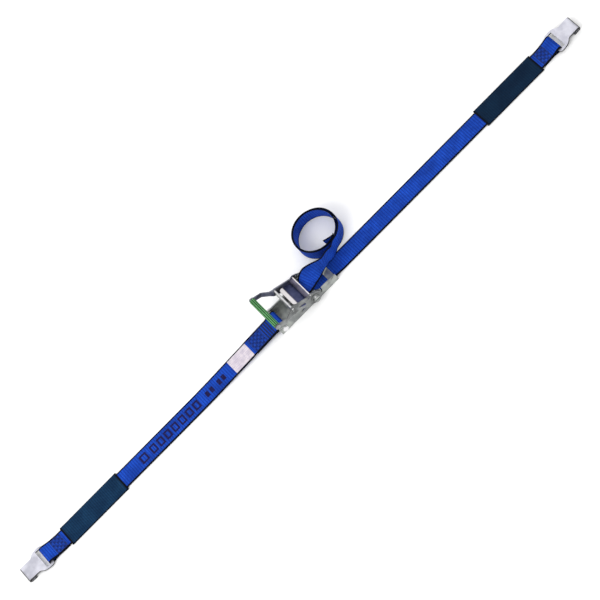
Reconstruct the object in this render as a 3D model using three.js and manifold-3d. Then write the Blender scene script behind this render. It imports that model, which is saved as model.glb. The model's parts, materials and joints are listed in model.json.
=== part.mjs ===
// Ratchet tie down for 50 mm webbing, in millimetres, +Z up.
// X runs along the strap, the spindle's axis is parallel to Y, and z = 0 is the face the ratchet lies on.
import * as THREE from 'three';
import { mergeVertices } from 'three/addons/utils/BufferGeometryUtils.js';
import Module from 'manifold-3d';

const wasm = await Module();
wasm.setup();

// ---------- driving dimensions ----------

// webbing
const WEB_WIDTH = 50;
const WEB_THICK = 2.2;
const TOUCH_GAP = 0.3; // between pieces that touch
const SLIDE_GAP = 0.5; // between pieces that turn or slide past each other

// frame
const WALL_THICK = 3;
const WEB_SIDE_GAP = 3; // from the webbing's edge to a frame wall
const FRAME_TAIL_X = -116;
const FRAME_NOSE_X = 70;
const WALL_HEIGHT = 26;
const FRAME_CORNER = 3;

// spindle and ratchet wheels
const SPINDLE_Z = 24;
const SPINDLE_R = 9;
const SPINDLE_SLOT = 3.2;
const SPINDLE_BOSS = 4; // metal around the spindle's hole in a wall
const SPINDLE_END = 3.5; // from a cotter pin's axis to the end of the spindle
const WHEEL_R = 20;
const TOOTH_DEPTH = 3.5;
const TEETH = 14;
const WHEEL_THICK = 2.5;
const WASHER_THICK = 1.5;
const WASHER_RIM = 3.5;
const COTTER_R = 1.5;
const COTTER_HEAD_R = 2.6;
const COTTER_REACH = 2.5; // past the shafts

// anchor bolt
const ANCHOR_X = -102;
const ANCHOR_Z = 16;
const ANCHOR_R = 5;
const ANCHOR_HEAD_R = 8;
const ANCHOR_HEAD_THICK = 5;
const EYE_SLACK = 0.6; // between a bar and the webbing eye around it

// nose bridge
const BRIDGE_X = [50, 68];
const BRIDGE_TENON_X = [55, 63];
const BRIDGE_TOP_Z = 23;
const BRIDGE_THICK = 2.5;

// pawls
const PAWL_THICK = 3;
const PAWL_TIP_GAP = 0.8; // from the teeth to a pawl's tip
const PAWL_TRAVEL = 6;
const PAWL_EAR = [30, 42]; // from the spindle's axis
const PAWL_EAR_REACH = 2; // an ear stands out of its slot this far
const FRAME_PAWL_TILT = THREE.MathUtils.degToRad(12);
const FRAME_PAWL_END = 44;
const SPRING_R = 3;
const SPRING_WIRE_R = 0.6;
const SPRING_TURNS = 6;
const SPRING_Y = 11;
const LUG_WIDTH = 9;
const LUG_TOP_Z = 18;
const LUG_THICK = 2.5;
const LUG_X = -61;

// handle, in its own frame: the spindle's axis is the origin and the grip lies along -X
const HANDLE_TILT = THREE.MathUtils.degToRad(24);
const HANDLE_SWING = THREE.MathUtils.degToRad(140); // how far it opens from there
const ARM_THICK = 2.8;
const ARM_BOSS_R = 18.5;
const ARM_BEND_X = 70;
const ARM_FLARE_END_X = 96;
const ARM_CREST = 2.2; // arm metal outside the web plate
const ARM_TOP = 15;
const ARM_BOTTOM = 10;
const ARM_TIP_HALF = 7;
const GRIP_DISTANCE = 122;
const GRIP_HALF_SPAN = WEB_WIDTH; // from the middle to an arm's inner face at the grip
const GRIP_R = 7.5;
const GRIP_ROD_R = 5;
const GRIP_ROD_HEAD_R = 6.5;
const GRIP_ROD_HEAD_THICK = 2;
const GRIP_GROOVES = 10;
const GRIP_GROOVE_R = 1.5;
const WEB_PLATE_ANGLES = [125, 162]; // degrees around the spindle
const WEB_PLATE_THICK = 2.5;
const WEB_PLATE_GAP = 1.5; // from the teeth to the web plate
const PULL_RISE = 7.5;
const PULL_BACK_X = 46;
const PULL_END_X = 58;
const PULL_HALF_WIDTH = WEB_WIDTH / 2 + 5;
const CROSS_BAR_X = 67;
const CROSS_BAR_Z = 8.5;
const CROSS_BAR_R = 2.5;
const STOP_X = 64;
const STOP_THICK = 2.5;
const STOP_HALF_HEIGHT = 6;
const STOP_TENON_HALF = 4;

// flat hook, in its own frame: the bar in the webbing eye is the origin and the tip lies along +X
const HOOK_THICK = 4;
const HOOK_BAR_HALF = 4;
const HOOK_SLOT_END_X = 17;
const HOOK_HALF_WIDTH = WEB_WIDTH / 2 + 7.5;
const HOOK_SLOT_SIDE_GAP = 1.5; // also the radius of the slot's corners
const HOOK_TONGUE_HALF = WEB_WIDTH / 2 - 4;
const HOOK_NECK_X = [22, 36];
const HOOK_TIP_X = 71;
const HOOK_BEND_R = 7; // outer radius of the bent tip
const HOOK_LIP_X = 50;

// strap layout
const HOOK_A_X = -881.8;
const HOOK_B_X = 821.6;
const HOOK_Z = 7.5;
const SLEEVE_LENGTH = 187;
const SLEEVE_WIDTH = WEB_WIDTH + 10;
const SLEEVE_THICK = 1.2;
const SLEEVE_A_X = -725;
const SLEEVE_B_X = 669;
const STRAP_Z = SLEEVE_THICK + TOUCH_GAP + WEB_THICK / 2; // middle of the webbing where it lies flat
const LABEL_X = [-258, -197];
const LABEL_WIDTH = WEB_WIDTH - 8;
const LABEL_THICK = 0.6;

// standing turn of the free tail
const COIL_X = 109;
const COIL_FOOT_Y = WEB_WIDTH / 2 + 65.5;
const COIL_LEAN = 7; // the upper rim is this much nearer the strap than the lower one
const COIL_R = 58.5;
const COIL_THICK = 6;

// ---------- sizes that follow ----------

const FRAME_INNER_Y = WEB_WIDTH / 2 + WEB_SIDE_GAP;
const FRAME_OUTER_Y = FRAME_INNER_Y + WALL_THICK;
const WHEEL_Y = [FRAME_OUTER_Y + SLIDE_GAP, FRAME_OUTER_Y + SLIDE_GAP + WHEEL_THICK];
const ARM_INNER_Y = WHEEL_Y[1] + SLIDE_GAP;
const ARM_OUTER_Y = ARM_INNER_Y + ARM_THICK;
const WASHER_Y = [ARM_OUTER_Y + SLIDE_GAP, ARM_OUTER_Y + SLIDE_GAP + WASHER_THICK];
const COTTER_Y = WASHER_Y[1] + TOUCH_GAP + COTTER_HEAD_R;
const SPINDLE_END_Y = COTTER_Y + SPINDLE_END;
const PAWL_TIP = WHEEL_R + PAWL_TIP_GAP;
const EYE_INNER_R = ANCHOR_R + EYE_SLACK;
const HOOK_EYE_INNER_R = Math.hypot(HOOK_BAR_HALF, HOOK_THICK / 2) + EYE_SLACK;
const HOOK_LIP_Z = HOOK_THICK / 2 - 2 * HOOK_BEND_R; // underside of the lip
const HOOK_TILT = Math.asin(-(HOOK_LIP_Z + HOOK_Z) / HOOK_LIP_X);

// ---------- materials ----------

function finish(colour, roughness, metalness) {
  return new THREE.MeshStandardMaterial({ color: colour, roughness, metalness });
}
const zinc = finish(0x9a9d9b, 0.42, 0.9);
const darkSteel = finish(0x555a68, 0.45, 0.9);
const brightSteel = finish(0xd6d4d6, 0.32, 0.9);
const greenPlastic = finish(0x4fa050, 0.55, 0);
const blueWebbing = finish(0x2038b0, 0.85, 0);
const navySleeve = finish(0x10264a, 0.95, 0);
const labelCloth = finish(0xe6dcdc, 0.8, 0);

// ---------- solids ----------

function toSolid(geometry) {
  const bare = geometry.clone();
  bare.deleteAttribute('normal');
  bare.deleteAttribute('uv');
  const merged = mergeVertices(bare, 1e-4);
  return new wasm.Manifold(new wasm.Mesh({
    numProp: 3,
    vertProperties: new Float32Array(merged.attributes.position.array),
    triVerts: new Uint32Array(merged.index.array),
  }));
}

function toGeometry(solid) {
  const cut = solid.getMesh();
  const geometry = new THREE.BufferGeometry();
  geometry.setAttribute('position', new THREE.BufferAttribute(new Float32Array(cut.vertProperties), 3));
  geometry.setIndex(new THREE.BufferAttribute(new Uint32Array(cut.triVerts), 1));
  geometry.computeVertexNormals();
  return geometry;
}

function extruded(shape, depth, curveSegments = 16) {
  return new THREE.ExtrudeGeometry(shape, { depth, bevelEnabled: false, curveSegments });
}

// A shape drawn in X and Z, between two places along Y.
function prismY(shape, yLow, yHigh, curveSegments) {
  const geometry = extruded(shape, yHigh - yLow, curveSegments);
  geometry.rotateX(Math.PI / 2);
  geometry.translate(0, yHigh, 0);
  return toSolid(geometry);
}

// A shape drawn in X and Y, between two heights.
function prismZ(shape, zLow, zHigh, curveSegments) {
  const geometry = extruded(shape, zHigh - zLow, curveSegments);
  geometry.translate(0, 0, zLow);
  return toSolid(geometry);
}

// A shape drawn in Y and Z, between two places along X.
function prismX(shape, xLow, xHigh, curveSegments) {
  const geometry = extruded(shape, xHigh - xLow, curveSegments);
  const alongX = new THREE.Matrix4().makeBasis(
    new THREE.Vector3(0, 1, 0), new THREE.Vector3(0, 0, 1), new THREE.Vector3(1, 0, 0));
  geometry.applyMatrix4(alongX);
  geometry.translate(xLow, 0, 0);
  return toSolid(geometry);
}

function box(x, y, z) {
  const geometry = new THREE.BoxGeometry(x[1] - x[0], y[1] - y[0], z[1] - z[0]);
  geometry.translate((x[0] + x[1]) / 2, (y[0] + y[1]) / 2, (z[0] + z[1]) / 2);
  return toSolid(geometry);
}

function cylinderY(x, z, radius, yLow, yHigh, sides = 32) {
  const geometry = new THREE.CylinderGeometry(radius, radius, yHigh - yLow, sides);
  geometry.translate(x, (yLow + yHigh) / 2, z);
  return toSolid(geometry);
}

function cylinderZ(x, y, radius, zLow, zHigh, sides = 12) {
  const geometry = new THREE.CylinderGeometry(radius, radius, zHigh - zLow, sides);
  geometry.rotateX(Math.PI / 2);
  geometry.translate(x, y, (zLow + zHigh) / 2);
  return toSolid(geometry);
}

function roundedRectangle(x, y, radius) {
  const shape = new THREE.Shape();
  shape.absarc(x[1] - radius, y[1] - radius, radius, 0, Math.PI / 2);
  shape.absarc(x[0] + radius, y[1] - radius, radius, Math.PI / 2, Math.PI);
  shape.absarc(x[0] + radius, y[0] + radius, radius, Math.PI, 1.5 * Math.PI);
  shape.absarc(x[1] - radius, y[0] + radius, radius, 1.5 * Math.PI, 2 * Math.PI);
  shape.closePath();
  return shape;
}

// Unit vectors to the left of a line of Vector2 points, one for each point.
function leftOf(points) {
  return points.map((point, i) => {
    const before = points[Math.max(i - 1, 0)];
    const after = points[Math.min(i + 1, points.length - 1)];
    const along = after.clone().sub(before).normalize();
    return new THREE.Vector2(-along.y, along.x);
  });
}

// A strip between two offsets from a line of Vector2 points, to the line's left where positive.
function strip(points, low, high) {
  const left = leftOf(points);
  const side = (offset) => points.map((point, i) => point.clone().addScaledVector(left[i], offset));
  return new THREE.Shape([...side(low), ...side(high).reverse()]);
}

// One closed body through sections of four corners each, counterclockwise seen from ahead.
function loft(sections) {
  const triangles = [0, 2, 1, 0, 3, 2];
  for (let i = 0; i < sections.length - 1; i += 1) {
    for (let k = 0; k < 4; k += 1) {
      const [a, b] = [4 * i + k, 4 * i + (k + 1) % 4];
      triangles.push(a, b, b + 4, a, b + 4, a + 4);
    }
  }
  const last = 4 * (sections.length - 1);
  triangles.push(last, last + 1, last + 2, last, last + 2, last + 3);
  const geometry = new THREE.BufferGeometry().setFromPoints(sections.flat());
  geometry.setIndex(triangles);
  return toSolid(geometry);
}

// A band across Y between two offsets from a line drawn in X and Z.
function band(line, low, high, halfWidth) {
  const left = leftOf(line);
  return loft(line.map((point, i) => [[-1, low], [1, low], [1, high], [-1, high]].map(([side, offset]) => {
    const place = point.clone().addScaledVector(left[i], offset);
    return new THREE.Vector3(place.x, side * halfWidth, place.y);
  })));
}

// A drop shape: a circle and the two lines from it to a point.
function drop(centre, radius, apex) {
  const toApex = apex.clone().sub(centre);
  const middle = toApex.angle();
  const spread = Math.acos(radius / toApex.length());
  const shape = new THREE.Shape();
  shape.moveTo(apex.x, apex.y);
  shape.lineTo(centre.x + radius * Math.cos(middle + spread), centre.y + radius * Math.sin(middle + spread));
  shape.absarc(centre.x, centre.y, radius, middle + spread, middle - spread + 2 * Math.PI);
  shape.closePath();
  return shape;
}

const v2 = (x, y) => new THREE.Vector2(x, y);

function smoothLine(points, steps) {
  const places = points.map((point) => new THREE.Vector3(point.x, point.y, 0));
  const curve = new THREE.CatmullRomCurve3(places, false, 'centripetal');
  return curve.getPoints((points.length - 1) * steps).map((point) => v2(point.x, point.y));
}

class Helix extends THREE.Curve {
  constructor(start, end, y, radius, turns) {
    super();
    Object.assign(this, { start, end, y, radius, turns });
  }

  getPoint(t, target = new THREE.Vector3()) {
    const angle = 2 * Math.PI * this.turns * t;
    const x = this.start + (this.end - this.start) * t;
    return target.set(x, this.y + this.radius * Math.cos(angle), this.radius * Math.sin(angle));
  }
}

function coilSpring(xStart, xEnd, y) {
  const middleR = SPRING_R - SPRING_WIRE_R;
  const path = new Helix(xStart - SPRING_WIRE_R, xEnd + SPRING_WIRE_R, y, middleR, SPRING_TURNS);
  const wire = new THREE.Shape();
  wire.absarc(0, 0, SPRING_WIRE_R, 0, 2 * Math.PI);
  return new THREE.ExtrudeGeometry(wire, {
    steps: SPRING_TURNS * 10, extrudePath: path, curveSegments: 3, bevelEnabled: false,
  });
}

// ---------- assembly ----------

const tieDown = new THREE.Group();
const spindle = new THREE.Group();
const handle = new THREE.Group();
const framePawl = new THREE.Group();
spindle.position.z = SPINDLE_Z;
handle.position.z = SPINDLE_Z;
handle.rotation.y = HANDLE_TILT;
framePawl.position.z = SPINDLE_Z;
framePawl.rotation.y = -FRAME_PAWL_TILT;
tieDown.add(spindle, handle, framePawl);

function addPart(parent, name, solid, material) {
  const geometry = solid.isBufferGeometry ? solid : toGeometry(solid);
  const mesh = new THREE.Mesh(geometry, material);
  mesh.name = name;
  parent.add(mesh);
}

// Calls make(name ending, +1 or -1) for the near side at -Y and the far side at +Y.
function eachSide(make) {
  make('near', -1);
  make('far', 1);
}

// Two places along Y, on one side of the middle, from the low one to the high one.
function onSide(side, inner, outer) {
  return side > 0 ? [inner, outer] : [-outer, -inner];
}

function addFrame() {
  const wall = new THREE.Shape();
  const bossR = SPINDLE_R + SPINDLE_BOSS;
  const bossStart = Math.asin((WALL_HEIGHT - SPINDLE_Z) / bossR);
  wall.moveTo(FRAME_TAIL_X, 0);
  wall.lineTo(FRAME_NOSE_X, 0);
  wall.absarc(FRAME_NOSE_X - FRAME_CORNER, WALL_HEIGHT - FRAME_CORNER, FRAME_CORNER, 0, Math.PI / 2);
  wall.absarc(0, SPINDLE_Z, bossR, bossStart, Math.PI - bossStart);
  wall.absarc(FRAME_TAIL_X + FRAME_CORNER, WALL_HEIGHT - FRAME_CORNER, FRAME_CORNER, Math.PI / 2, Math.PI);
  wall.closePath();
  const y = FRAME_OUTER_Y;
  let frame = box([FRAME_TAIL_X, FRAME_NOSE_X], [-y, y], [0, WALL_THICK]);
  eachSide((ending, side) => {
    frame = frame.add(prismY(wall, ...onSide(side, FRAME_INNER_Y, FRAME_OUTER_Y)));
  });
  for (const lugY of [-SPRING_Y, SPRING_Y]) {
    const across = [lugY - LUG_WIDTH / 2, lugY + LUG_WIDTH / 2];
    frame = frame.add(box([LUG_X - LUG_THICK, LUG_X], across, [0, LUG_TOP_Z]));
  }
  const pawlSlot = box(
    [-PAWL_EAR[1] - PAWL_TRAVEL - SLIDE_GAP, -PAWL_EAR[0] + SLIDE_GAP], [-y - 1, y + 1],
    [-PAWL_THICK / 2 - SLIDE_GAP, PAWL_THICK / 2 + SLIDE_GAP]);
  const tilt = THREE.MathUtils.radToDeg(-FRAME_PAWL_TILT);
  frame = frame.subtract(pawlSlot.rotate([0, tilt, 0]).translate([0, 0, SPINDLE_Z]));
  const tenonSlot = box(
    [BRIDGE_TENON_X[0] - TOUCH_GAP, BRIDGE_TENON_X[1] + TOUCH_GAP], [-y - 1, y + 1],
    [BRIDGE_TOP_Z - BRIDGE_THICK - TOUCH_GAP, BRIDGE_TOP_Z + TOUCH_GAP]);
  frame = frame.subtract(tenonSlot);

  // a slot in each wall for the handle's web plate, which dips into it as the handle opens
  const lowest = THREE.MathUtils.degToRad(WEB_PLATE_ANGLES[0] - 1) - HANDLE_TILT - HANDLE_SWING;
  const innerR = WHEEL_R + WEB_PLATE_GAP - SLIDE_GAP;
  const webSlot = new THREE.Shape();
  webSlot.moveTo(innerR * Math.cos(lowest), innerR * Math.sin(lowest));
  webSlot.absarc(0, 0, innerR, lowest, Math.PI / 4);
  webSlot.absarc(0, 0, innerR + WEB_PLATE_THICK + 2 * SLIDE_GAP, Math.PI / 4, lowest, true);
  webSlot.closePath();
  frame = frame.subtract(prismY(webSlot, -y - 1, y + 1, 24).translate([0, 0, SPINDLE_Z]));
  frame = frame.subtract(cylinderY(0, SPINDLE_Z, SPINDLE_R + SLIDE_GAP, -y - 1, y + 1));
  frame = frame.subtract(cylinderY(ANCHOR_X, ANCHOR_Z, ANCHOR_R + TOUCH_GAP, -y - 1, y + 1));
  addPart(tieDown, 'frame_channel', frame, zinc);

  const bridgeY = FRAME_INNER_Y - TOUCH_GAP;
  const bridgeZ = [BRIDGE_TOP_Z - BRIDGE_THICK, BRIDGE_TOP_Z];
  const tenonY = FRAME_OUTER_Y + PAWL_EAR_REACH;
  const bridge = box(BRIDGE_X, [-bridgeY, bridgeY], bridgeZ)
    .add(box(BRIDGE_TENON_X, [-tenonY, tenonY], bridgeZ));
  addPart(tieDown, 'nose_bridge', bridge, zinc);

  const headY = -FRAME_OUTER_Y - TOUCH_GAP;
  const nutY = FRAME_OUTER_Y + TOUCH_GAP;
  const boltEnd = nutY + ANCHOR_HEAD_THICK + 2;
  const bolt = cylinderY(ANCHOR_X, ANCHOR_Z, ANCHOR_R, headY - 1, boltEnd, 24)
    .add(cylinderY(ANCHOR_X, ANCHOR_Z, ANCHOR_HEAD_R, headY - ANCHOR_HEAD_THICK, headY, 6));
  addPart(tieDown, 'anchor_bolt', bolt, brightSteel);
  const nut = cylinderY(ANCHOR_X, ANCHOR_Z, ANCHOR_HEAD_R, nutY, nutY + ANCHOR_HEAD_THICK, 6)
    .subtract(cylinderY(ANCHOR_X, ANCHOR_Z, ANCHOR_R + TOUCH_GAP, nutY - 1, boltEnd, 24));
  addPart(tieDown, 'anchor_nut', nut, brightSteel);
}

// A plate that reaches both ratchet wheels, with an ear on each side that stands out past a wall or an arm.
function pawlPlate(end, earY) {
  const z = [-PAWL_THICK / 2, PAWL_THICK / 2];
  return box([-end, -PAWL_TIP], [-WHEEL_Y[1], WHEEL_Y[1]], z)
    .add(box([-PAWL_EAR[1], -PAWL_EAR[0]], [-earY, earY], z));
}

function addFramePawl() {
  let pawl = pawlPlate(FRAME_PAWL_END, WHEEL_Y[1]);
  const springStart = -FRAME_PAWL_END - TOUCH_GAP;
  const springEnd = (LUG_X + TOUCH_GAP) / Math.cos(FRAME_PAWL_TILT) + SPRING_R * Math.tan(FRAME_PAWL_TILT);
  eachSide((ending, side) => {
    // clear of the wall on both sides of the ear
    const wallY = onSide(side, FRAME_INNER_Y - SLIDE_GAP, FRAME_OUTER_Y + TOUCH_GAP);
    const z = [-PAWL_THICK, PAWL_THICK];
    pawl = pawl.subtract(box([-PAWL_EAR[0], 0], wallY, z));
    pawl = pawl.subtract(box([-2 * FRAME_PAWL_END, -PAWL_EAR[1]], wallY, z));
    const spring = coilSpring(springStart, springEnd, side * SPRING_Y);
    addPart(framePawl, `frame_pawl_spring_${ending}`, spring, brightSteel);
  });
  addPart(framePawl, 'frame_pawl', pawl, darkSteel);
}

function addSpindle() {
  const flat = SPINDLE_SLOT / 2;
  const start = Math.asin(flat / SPINDLE_R);
  for (const [name, turn] of [['spindle_shaft_upper', 0], ['spindle_shaft_lower', Math.PI]]) {
    const half = new THREE.Shape();
    half.absarc(0, 0, SPINDLE_R, turn + start, turn + Math.PI - start);
    half.closePath();
    let shaft = prismY(half, -SPINDLE_END_Y, SPINDLE_END_Y);
    for (const y of [-COTTER_Y, COTTER_Y]) {
      shaft = shaft.subtract(cylinderZ(0, y, COTTER_R + TOUCH_GAP, -2 * SPINDLE_R, 2 * SPINDLE_R));
    }
    addPart(spindle, name, shaft, brightSteel);
  }

  const rootR = WHEEL_R - TOOTH_DEPTH;
  const pitch = 2 * Math.PI / TEETH;
  const wheelShape = new THREE.Shape();
  for (let tooth = 0; tooth < TEETH; tooth += 1) {
    for (const [radius, share] of [[rootR, 0], [WHEEL_R, 0.12], [WHEEL_R, 0.3]]) {
      const angle = (tooth + share) * pitch;
      const place = [radius * Math.cos(angle), radius * Math.sin(angle)];
      if (tooth === 0 && share === 0) wheelShape.moveTo(...place);
      else wheelShape.lineTo(...place);
    }
  }
  wheelShape.closePath();
  const boreR = SPINDLE_R + TOUCH_GAP;
  eachSide((ending, side) => {
    const wheelY = onSide(side, ...WHEEL_Y);
    const bore = cylinderY(0, 0, boreR, wheelY[0] - 1, wheelY[1] + 1);
    addPart(spindle, `ratchet_wheel_${ending}`, prismY(wheelShape, ...wheelY).subtract(bore), zinc);
    const washerY = onSide(side, ...WASHER_Y);
    const washer = cylinderY(0, 0, boreR + WASHER_RIM, ...washerY)
      .subtract(cylinderY(0, 0, boreR, washerY[0] - 1, washerY[1] + 1));
    addPart(spindle, `spindle_washer_${ending}`, washer, brightSteel);
    const pinEnd = SPINDLE_R + COTTER_REACH;
    const pin = cylinderZ(0, side * COTTER_Y, COTTER_R, -pinEnd, pinEnd)
      .add(cylinderZ(0, side * COTTER_Y, COTTER_HEAD_R, SPINDLE_R + TOUCH_GAP, pinEnd));
    addPart(spindle, `cotter_pin_${ending}`, pin, brightSteel);
  });

  const half = WEB_WIDTH / 2;
  const inside = SPINDLE_R - TOUCH_GAP;
  const slotWeb = box([-inside, inside], [-half, half], [-WEB_THICK / 2, WEB_THICK / 2]);
  addPart(spindle, 'webbing_in_spindle', slotWeb, blueWebbing);
}

function addHandleArms() {
  const profile = new THREE.Shape();
  const crestR = WHEEL_R + WEB_PLATE_GAP + WEB_PLATE_THICK + ARM_CREST;
  const [crestStart, crestEnd] = WEB_PLATE_ANGLES.map(THREE.MathUtils.degToRad);
  profile.absarc(0, 0, ARM_BOSS_R, -2 * Math.PI / 3, Math.PI / 2);
  profile.absarc(0, 0, crestR, crestStart - ARM_CREST / crestR, (crestStart + crestEnd) / 2);
  profile.lineTo(-ARM_BEND_X + 2, ARM_TOP);
  profile.lineTo(-ARM_BEND_X - 8, ARM_TIP_HALF);
  profile.absarc(-GRIP_DISTANCE, 0, ARM_TIP_HALF, Math.PI / 2, 1.5 * Math.PI);
  profile.lineTo(-ARM_BEND_X - 8, -ARM_TIP_HALF);
  profile.lineTo(-ARM_BEND_X + 4, -ARM_BOTTOM);
  profile.closePath();
  const reach = GRIP_DISTANCE + 2 * ARM_TIP_HALF;
  const slide = SLIDE_GAP;
  const cuts = [
    cylinderY(0, 0, SPINDLE_R + slide, -GRIP_DISTANCE, GRIP_DISTANCE),
    cylinderY(-GRIP_DISTANCE, 0, GRIP_ROD_R + TOUCH_GAP, -GRIP_DISTANCE, GRIP_DISTANCE, 20),
    cylinderY(-CROSS_BAR_X, CROSS_BAR_Z, CROSS_BAR_R + TOUCH_GAP, -GRIP_DISTANCE, GRIP_DISTANCE, 16),
    box([-PAWL_EAR[1] - PAWL_TRAVEL - slide, -PAWL_EAR[0] + slide], [-reach, reach],
      [-PAWL_THICK / 2 - slide, PAWL_THICK / 2 + slide]),
    box([-STOP_X - STOP_THICK - TOUCH_GAP, -STOP_X + TOUCH_GAP], [-reach, reach],
      [-STOP_TENON_HALF - TOUCH_GAP, STOP_TENON_HALF + TOUCH_GAP]),
    webPlateSector(TOUCH_GAP, reach),
  ];
  eachSide((ending, side) => {
    const bends = [[ARM_BOSS_R + 2, 0], [-ARM_BEND_X, 0], [-ARM_FLARE_END_X, GRIP_HALF_SPAN - ARM_INNER_Y],
      [-reach, GRIP_HALF_SPAN - ARM_INNER_Y]];
    const line = bends.map(([x, out]) => v2(x, side * (ARM_INNER_Y + out)));
    const plan = side > 0 ? strip(line, -ARM_THICK, 0) : strip(line, 0, ARM_THICK);
    let arm = prismY(profile, -reach, reach).intersect(prismZ(plan, -reach, reach));
    for (const cut of cuts) arm = arm.subtract(cut);
    addPart(handle, `handle_arm_${ending}`, arm, darkSteel);
  });
}

// The curved plate over the wheels out to a place on both sides, or its ends' slot when grown by a gap.
function webPlateSector(gap, y) {
  const inner = WHEEL_R + WEB_PLATE_GAP - gap;
  const outer = WHEEL_R + WEB_PLATE_GAP + WEB_PLATE_THICK + gap;
  const extra = gap / inner;
  const [from, to] = WEB_PLATE_ANGLES.map(THREE.MathUtils.degToRad);
  const sector = new THREE.Shape();
  sector.absarc(0, 0, outer, from - extra, to + extra);
  sector.absarc(0, 0, inner, to + extra, from - extra, true);
  sector.closePath();
  return prismY(sector, -y, y);
}

function addHandlePawl() {
  const earY = ARM_OUTER_Y + PAWL_EAR_REACH;
  const rise = strip([v2(-PULL_BACK_X + 5, 0), v2(-PULL_BACK_X + 1.5, 0.6), v2(-PULL_BACK_X, 3),
    v2(-PULL_BACK_X - 0.6, PULL_RISE - 1.5), v2(-PULL_BACK_X - 2.5, PULL_RISE), v2(-PULL_END_X, PULL_RISE)],
  -PAWL_THICK / 2, PAWL_THICK / 2);
  const plan = roundedRectangle([-PULL_END_X - 1, PULL_BACK_X], [-PULL_HALF_WIDTH, PULL_HALF_WIDTH], 9);
  const pull = prismY(rise, -PULL_HALF_WIDTH, PULL_HALF_WIDTH).intersect(prismZ(plan, -20, 20));
  addPart(handle, 'handle_pawl', pawlPlate(PULL_BACK_X - 3, earY).add(pull), brightSteel);

  const springStart = -PULL_BACK_X - PAWL_THICK / 2 - 2 * TOUCH_GAP;
  eachSide((ending, side) => {
    const spring = coilSpring(springStart, -STOP_X + TOUCH_GAP, side * SPRING_Y);
    addPart(handle, `handle_pawl_spring_${ending}`, spring, brightSteel);
  });
}

function addHandleCrossPieces() {
  addPart(handle, 'handle_web', webPlateSector(0, ARM_OUTER_Y), darkSteel);

  const stopX = [-STOP_X - STOP_THICK, -STOP_X];
  const stopY = ARM_INNER_Y - TOUCH_GAP;
  const stop = box(stopX, [-stopY, stopY], [-STOP_HALF_HEIGHT, STOP_HALF_HEIGHT])
    .add(box(stopX, [-ARM_OUTER_Y, ARM_OUTER_Y], [-STOP_TENON_HALF, STOP_TENON_HALF]));
  addPart(handle, 'handle_spring_stop', stop, zinc);

  const barY = ARM_OUTER_Y + 1;
  const crossBar = cylinderY(-CROSS_BAR_X, CROSS_BAR_Z, CROSS_BAR_R, -barY, barY, 16);
  addPart(handle, 'handle_cross_bar', crossBar, brightSteel);

  const armEnd = GRIP_HALF_SPAN + ARM_THICK;
  const headY = armEnd + TOUCH_GAP;
  let rod = cylinderY(-GRIP_DISTANCE, 0, GRIP_ROD_R, -headY - 1, headY + 1, 20);
  eachSide((ending, side) => {
    const y = onSide(side, headY, headY + GRIP_ROD_HEAD_THICK);
    rod = rod.add(cylinderY(-GRIP_DISTANCE, 0, GRIP_ROD_HEAD_R, ...y, 20));
  });
  addPart(handle, 'grip_rod', rod, zinc);

  const gripY = GRIP_HALF_SPAN - SLIDE_GAP;
  let grip = cylinderY(-GRIP_DISTANCE, 0, GRIP_R, -gripY, gripY, 48)
    .subtract(cylinderY(-GRIP_DISTANCE, 0, GRIP_ROD_R + TOUCH_GAP, -gripY - 1, gripY + 1, 20));
  for (let groove = 0; groove < GRIP_GROOVES; groove += 1) {
    const angle = 2 * Math.PI * groove / GRIP_GROOVES;
    const x = -GRIP_DISTANCE + GRIP_R * Math.cos(angle);
    const z = GRIP_R * Math.sin(angle);
    grip = grip.subtract(cylinderY(x, z, GRIP_GROOVE_R, -gripY - 1, gripY + 1, 8));
  }
  addPart(handle, 'grip_sleeve', grip, greenPlastic);
}

// ---------- webbing ----------

// The webbing's middle line seen from the side, from the anchor bolt to hook A.
const fixedLine = smoothLine([v2(-124, 14.6), v2(-190, 11), v2(-258, 7.4), v2(-320, 4), v2(-370, STRAP_Z),
  v2(-400, STRAP_Z), v2(-800, STRAP_Z), v2(-822, STRAP_Z), v2(-842, STRAP_Z + 1), v2(-862, HOOK_Z - 1)], 4);
// The same from the spindle's slot, round its front and on to hook B.
const loadStart = SPINDLE_R + 0.9;
const loadLine = smoothLine([v2(loadStart, SPINDLE_Z), v2(loadStart + 1.7, SPINDLE_Z - 0.4),
  v2(loadStart + 2.9, SPINDLE_Z - 1.8), v2(loadStart + 3.1, SPINDLE_Z - 4),
  v2(loadStart + 2.7, SPINDLE_Z - 7),
  v2(loadStart + 2.9, SPINDLE_Z - 10.5), v2(loadStart + 4.7, SPINDLE_Z - 14.2),
  v2(loadStart + 8.3, 6.9), v2(loadStart + 13.1, 5.6), v2(loadStart + 20, 5.1), v2(48, 5), v2(72, 4.9),
  v2(100, STRAP_Z + 0.4), v2(130, STRAP_Z), v2(160, STRAP_Z), v2(740, STRAP_Z), v2(765, STRAP_Z),
  v2(783, STRAP_Z + 1), v2(802, HOOK_Z - 1)], 4);
const SEWN_END_X = [-192, -824, 767]; // where each doubled end stops

// An eye of webbing around a bar, tapering to a point on the strap.
function eye(centre, innerR, apex) {
  const outward = apex.clone().sub(centre).normalize();
  const half = WEB_WIDTH / 2;
  const outer = drop(centre, innerR + WEB_THICK, apex.clone().addScaledVector(outward, 10));
  const inner = drop(centre, innerR, apex);
  return [prismY(outer, -half, half), prismY(inner, -half - 1, half + 1)];
}

// The stretch of a line between two places along X.
function between(line, low, high) {
  const found = [];
  line.slice(1).forEach((end, i) => {
    const start = line[i];
    const shares = [low, high].map((x) => (x - start.x) / (end.x - start.x));
    const from = THREE.MathUtils.clamp(Math.min(...shares), 0, 1);
    const to = THREE.MathUtils.clamp(Math.max(...shares), 0, 1);
    if (to - from < 1e-6) return;
    if (found.length === 0) found.push(start.clone().lerp(end, from));
    found.push(start.clone().lerp(end, to));
  });
  return found;
}

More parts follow.
